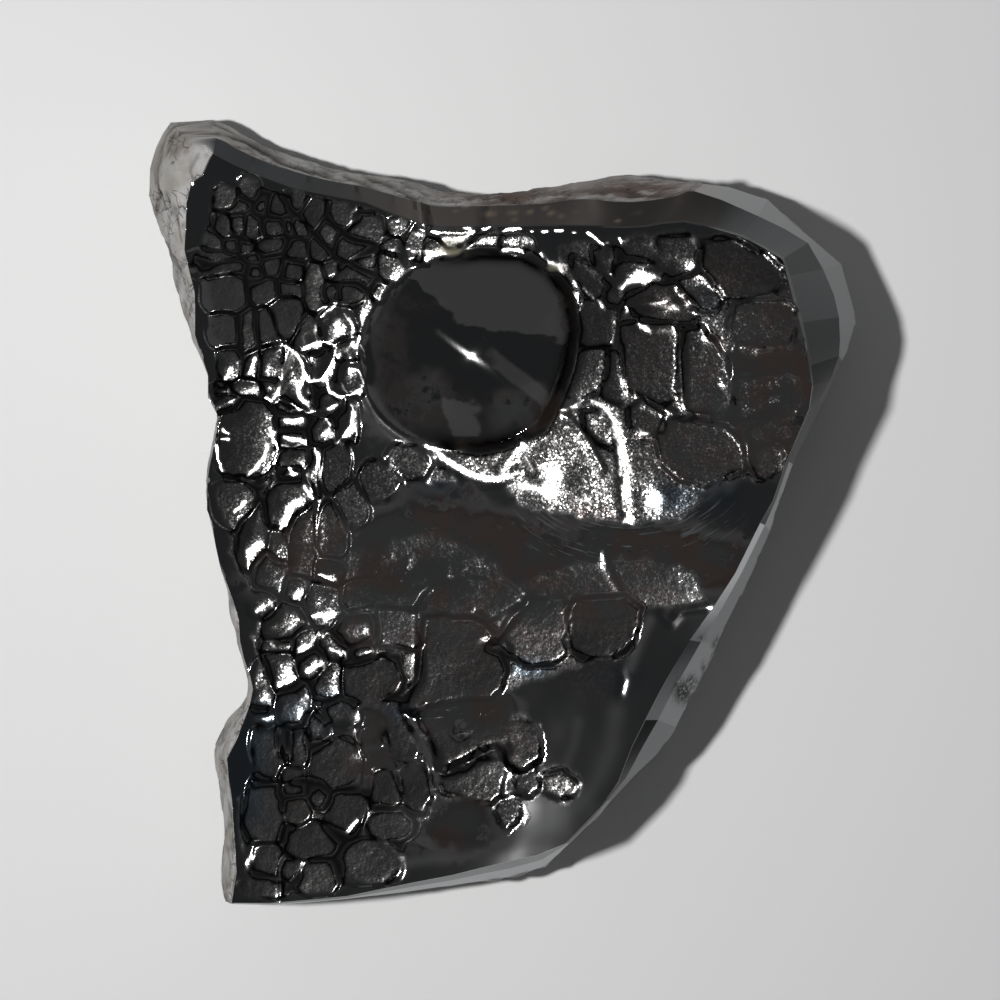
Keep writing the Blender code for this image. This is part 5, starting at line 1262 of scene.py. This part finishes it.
def hematite():
    """Black mirror polish, satin skin, ground facets and grey fractures of one stone."""
    material = bpy.data.materials.new("hematite")
    material.use_nodes = True
    tree = material.node_tree
    tree.nodes.clear()
    wire = Wiring(tree)
    shader = wire.add("ShaderNodeBsdfPrincipled")
    out = wire.add("ShaderNodeOutputMaterial")
    wire.feed(out.inputs["Surface"], shader.outputs["BSDF"])
    place = wire.add("ShaderNodeTexCoord").outputs["Object"]
    dull, natural, ground = wire.mark("dull"), wire.mark("natural"), wire.mark("ground")
    rust, clay, blue = wire.mark("rust"), wire.mark("clay"), wire.mark("blue")
    furrow, brown, matte = wire.mark("furrow"), wire.mark("brown"), wire.mark("matte")
    crack, streak, stain = wire.mark("crack"), wire.mark("streak"), wire.mark("stain")

    patches = wire.cloud(place, 420.0, 5.0, 0.65)
    specks = wire.cloud(place, 2600.0, 3.0, 0.6)
    dull = wire.maths("MULTIPLY", dull, wire.between(patches, 0.22, 0.42))
    rust_specks = wire.maths("MULTIPLY", rust, wire.between(specks, 0.40, 0.66))
    skin = wire.mix(dull, MIRROR_BLACK, SATIN_GREY)
    skin = wire.mix(rust_specks, skin, RUST_RED)
    skin = wire.mix(wire.maths("MULTIPLY", blue, 0.6), skin, STEEL_BLUE)
    clay = wire.maths("MULTIPLY", clay, wire.between(patches, 0.25, 0.5))
    skin = wire.mix(clay, skin, CLAY_YELLOW)
    matte = wire.maths("MULTIPLY", matte, wire.between(patches, 0.30, 0.47))
    # painted shade and painted reflection of the ground facets: each facet's colour is scaled by its own value
    facet = wire.add("ShaderNodeVectorMath", operation="SCALE")
    wire.feed(facet.inputs[0], wire.mix(brown, GROUND_GREY, GROUND_BROWN))
    wire.feed(facet.inputs["Scale"], wire.mark("facet_shade"))
    facet = facet.outputs[0]
    vein, pale, chip = wire.mark("vein"), wire.mark("pale"), wire.mark("chip")
    reflection_band, scratch_glints = wire.mark("reflection_band"), wire.mark("scratch_glint")
    facet = wire.mix(wire.mark("speck"), facet, OCHRE)
    facet = wire.mix(wire.maths("MULTIPLY", chip, wire.between(specks, 0.36, 0.52)), facet, CHIP_DARK)
    mottled = wire.cloud(place, 240.0, 4.0, 0.6)
    fracture = wire.mix(wire.between(mottled, 0.35, 0.65), FRACTURE_GREY, FRACTURE_WARM)
    reddened = wire.maths("MULTIPLY", wire.mark("red"), wire.between(patches, 0.28, 0.5))
    fracture = wire.mix(reddened, fracture, FRACTURE_RED)
    fracture = wire.mix(pale, fracture, FRACTURE_PALE)
    fracture = wire.mix(vein, fracture, VEIN_RED)
    # real scratches, painted light and bluish as the glints they catch
    curved = curved_scratches(wire, place)
    scratch_glints = wire.maths("MULTIPLY", scratch_glints, curved)
    skin = wire.mix(scratch_glints, skin, SCRATCH_GLINT_BLUE)
    matte = wire.maths("MULTIPLY", matte, wire.maths("SUBTRACT", 1.0, scratch_glints))
    # painted reflection: grey bands laid over the polish
    skin = wire.mix(reflection_band, skin, PAINTED_REFLECTION_GREY)
    stain = wire.maths("MULTIPLY", stain, wire.between(patches, 0.30, 0.62))
    colour = wire.mix(natural, wire.mix(ground, skin, facet), fracture)
    # painted shade: the colour darkens in the furrows and in the moat of the dome
    furrow_shade = wire.between(furrow, 0.03, 0.42)
    shade = wire.maths("MULTIPLY_ADD", furrow_shade, -0.94, 1.0)
    # painted highlight: the dome's base goes black except along its drawn highlight line
    highlight_line = wire.maths("MULTIPLY_ADD", wire.mark("highlight_line"), -0.07, 1.0)
    shade = wire.maths("MULTIPLY", shade,
                       wire.maths("SUBTRACT", 1.0, wire.maths("MULTIPLY", streak, highlight_line)))
    # painted shade, darkening the cracks and clefts of the natural sides
    shade = wire.maths("MULTIPLY", shade, wire.maths("MULTIPLY_ADD", crack, -0.55, 1.0))
    cleft = wire.maths("MULTIPLY", clefts(wire, place), natural)
    shade = wire.maths("MULTIPLY", shade, wire.maths("MULTIPLY_ADD", cleft, -0.25, 1.0))
    dark = wire.add("ShaderNodeMix", data_type="RGBA", blend_type="MULTIPLY")
    dark.inputs[0].default_value = 1.0
    wire.feed(dark.inputs[6], colour)
    wire.feed(dark.inputs[7], shade)
    matt = wire.mix(wire.between(mottled, 0.42, 0.62), MATTE_DARK, MATTE_RED)
    dark = wire.mix(wire.between(matte, 0.0, 0.4), dark.outputs[2], matt)
    wire.feed(shader.inputs["Base Color"],
              wire.mix(wire.between(stain, 0.0, 0.6), dark, STAIN_BROWN))

    film = wire.maths("MULTIPLY", dull, 0.08)
    film = wire.maths("MULTIPLY_ADD", rust_specks, 0.15, film)
    film = wire.maths("MULTIPLY_ADD", clay, 0.8, film)
    film = wire.maths("ADD", wire.between(matte, 0.05, 0.55), film)
    film = wire.maths("MULTIPLY_ADD", natural, 0.75, film)
    film = wire.maths("ADD", film, wire.between(furrow, 0.35, 1.0))
    film = wire.maths("ADD", film, stain)
    film = wire.maths("MULTIPLY_ADD", reflection_band, 0.55, film)
    film = wire.maths("MULTIPLY_ADD", scratch_glints, 0.6, film)
    film = wire.maths("ADD", film, wire.mark("speck"))
    wire.feed(shader.inputs["Metallic"], wire.maths("SUBTRACT", 1.0, film, clamp=True))
    flat = wire.maths("MAXIMUM", wire.maths("MAXIMUM", furrow, matte), stain)
    wire.feed(shader.inputs["Specular IOR Level"], wire.maths("MULTIPLY_ADD", flat, -0.5, 0.5))
    shader.inputs["Specular Tint"].default_value = (0.6, 0.6, 0.6, 1)

    glint = wire.mark("glint")
    gloss = wire.blend(dull, 0.06, 0.155)
    gloss = wire.blend(streak, gloss, 0.13)
    flank = wire.between(furrow, 0.38, 0.75)
    gloss = wire.blend(flank, gloss, 0.6)
    gloss = wire.blend(glint, gloss, 0.12)
    gloss = wire.blend(ground, gloss, 0.36)
    gloss = wire.blend(natural, gloss, 0.60)
    gloss = wire.blend(clay, gloss, 0.75)
    wire.feed(shader.inputs["Roughness"], gloss)

    pores = wire.maths("MULTIPLY", wire.cloud(place, 1500.0, 2.0), dull)
    hackle = wire.maths("SUBTRACT", wire.cloud(place, 700.0, 7.0, 0.72), cleft)
    hackle = wire.maths("MULTIPLY", hackle, wire.maths("MULTIPLY", natural, 9.0))
    bump = wire.add("ShaderNodeBump")
    bump.inputs["Distance"].default_value = 0.00003
    bump.inputs["Strength"].default_value = 1.0
    wire.feed(bump.inputs["Height"], wire.maths("ADD", pores, hackle))
    grains = wire.add("ShaderNodeTexVoronoi")
    wire.feed(grains.inputs["Vector"], place)
    grains.inputs["Scale"].default_value = 6500.0
    leaned = wire.lean(bump.outputs["Normal"], grains.outputs["Color"],
                       wire.maths("MULTIPLY", wire.mark("grain"), dull))
    # painted glints: on the drawn lines the normal is turned half way between lamp and eye
    facing = wire.add("ShaderNodeCombineXYZ")
    wire.feed(facing.inputs["X"], wire.mark("glint right"))
    wire.feed(facing.inputs["Y"], wire.mark("glint up"))
    facing.inputs["Z"].default_value = 1.0
    leaned = wire.mix(glint, leaned, facing.outputs[0])
    wire.feed(shader.inputs["Normal"], leaned)
    wire.feed(shader.inputs["Anisotropic"], streak)
    satin = wire.maths("MULTIPLY", dull, wire.maths("SUBTRACT", 1.0, wire.maths("MAXIMUM", flat, furrow_shade)))
    shine = wire.maths("MULTIPLY", streak, wire.maths("SUBTRACT", 1.0, furrow))
    wire.feed(shader.inputs["Coat Weight"], wire.maths("MULTIPLY_ADD", satin, 0.24, shine))
    wire.feed(shader.inputs["Coat IOR"], wire.blend(streak, 1.5, 2.6))
    wire.feed(shader.inputs["Coat Roughness"], wire.blend(streak, 0.22, 0.025))
    wire.feed(shader.inputs["Coat Normal"], leaned)
    polish = wire.add("ShaderNodeCombineXYZ")
    for socket, value in zip(polish.inputs, POLISH_DIRECTION):
        socket.default_value = value
    wire.feed(shader.inputs["Tangent"], polish.outputs[0])
    return material


def floor():
    """A plain pale floor."""
    mesh = bpy.data.meshes.new("floor")
    mesh.from_pydata([(-3, -3, 0), (3, -3, 0), (3, 3, 0), (-3, 3, 0)], [], [(0, 1, 2, 3)])
    board = bpy.data.objects.new("floor", mesh)
    board.location.z = -0.00005
    material = bpy.data.materials.new("pale floor")
    material.use_nodes = True
    shader = material.node_tree.nodes["Principled BSDF"]
    shader.inputs["Base Color"].default_value = (0.80, 0.80, 0.795, 1)
    shader.inputs["Roughness"].default_value = 0.8
    shader.inputs["Specular IOR Level"].default_value = 0.2
    mesh.materials.append(material)
    bpy.context.scene.collection.objects.link(board)


EYE = (CENTRE_SHIFT[0] / 1000, CENTRE_SHIFT[1] / 1000, EYE_LEVEL / 1000)
LAMP = (EYE[0] - 0.135, EYE[1], EYE[2])


def key_light():
    """The lamp: a small disc level with the camera, to its left."""
    light = bpy.data.lights.new("key", "AREA")
    light.shape = "DISK"
    light.size = 0.022
    light.energy = 0.69
    light.spread = math.radians(110)
    lamp = bpy.data.objects.new("key", light)
    lamp.location = LAMP
    aim = Vector((-0.045, 0.03, 0.0))
    lamp.rotation_euler = (Vector(lamp.location) - aim).to_track_quat("Z", "Y").to_euler()
    bpy.context.scene.collection.objects.link(lamp)


def window(wire, value, low, high, soft):
    """1 between two values and 0 outside them."""
    return wire.maths("MULTIPLY", wire.between(value, low, low + soft),
                      wire.between(value, high, high - soft))


def room():
    """A dim room: dark overhead, lighter towards the back wall and low down."""
    world = bpy.data.worlds.new("room")
    world.use_nodes = True
    tree = world.node_tree
    tree.nodes.clear()
    wire = Wiring(tree)
    split = wire.add("ShaderNodeSeparateXYZ")
    wire.feed(split.inputs[0], wire.add("ShaderNodeTexCoord").outputs["Generated"])
    up = wire.maths("MAXIMUM", split.outputs["Z"], 0.02)
    right = wire.maths("DIVIDE", split.outputs["X"], up)
    back = wire.maths("DIVIDE", split.outputs["Y"], up)

    bend = wire.cloud(split.inputs[0].links[0].from_socket, 5.0, 3.0)
    bend = wire.maths("MULTIPLY_ADD", bend, 0.5, -0.25)
    back = wire.maths("ADD", back, bend)
    right = wire.maths("MULTIPLY_ADD", bend, -0.6, right)
    back_wall = wire.maths("MULTIPLY",
                           wire.between(wire.maths("MULTIPLY_ADD", right, 0.89, back), -0.05, -0.01),
                           wire.between(wire.maths("MULTIPLY_ADD", right, 0.52, back), 0.10, 0.14))
    back_wall = wire.maths("MULTIPLY", back_wall, wire.between(right, 0.9, 0.25))
    table = window(wire, right, -0.68, -0.20, 0.06)
    table = wire.maths("MULTIPLY", table, window(wire, back, -1.45, -0.55, 0.08))
    slant = wire.maths("ABSOLUTE", wire.maths("MULTIPLY_ADD", right, 1.4,
                                              wire.maths("ADD", back, 0.25)))
    shelf = wire.maths("MULTIPLY", wire.between(slant, 0.12, 0.07),
                       wire.between(right, -0.2, -0.1))
    low = wire.maths("MULTIPLY", wire.between(split.outputs["Z"], 0.45, 0.18),
                     wire.between(right, -1.9, -2.6))
    light = wire.maths("MAXIMUM", wire.maths("MULTIPLY", back_wall, 0.42),
                       wire.maths("MULTIPLY", table, 0.42))
    light = wire.maths("MAXIMUM", light, wire.maths("MULTIPLY", shelf, 0.36))
    light = wire.maths("MAXIMUM", light, wire.maths("MULTIPLY", low, 0.45))
    background = wire.add("ShaderNodeBackground")
    wire.feed(background.inputs["Color"],
              wire.mix(light, (0.055, 0.057, 0.060, 1), (0.34, 0.34, 0.345, 1)))
    out = wire.add("ShaderNodeOutputWorld")
    wire.feed(out.inputs["Surface"], background.outputs[0])
    bpy.context.scene.world = world


def camera():
    data = bpy.data.cameras.new("camera")
    data.sensor_width = 36.0
    data.lens = 162.0
    eye = bpy.data.objects.new("camera", data)
    eye.location = EYE
    bpy.context.scene.collection.objects.link(eye)
    bpy.context.scene.camera = eye


FACE_SHEET = leaning_sheet(FACE_LEANS, FACE_HEIGHTS)
TIPPED_PLACES += FINE_TIPS
bpy.context.scene.view_settings.view_transform = "Standard"
stone = build_stone(hematite())
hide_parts("hematite_stone")
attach(stone, "root")
floor()
key_light()
room()
camera()
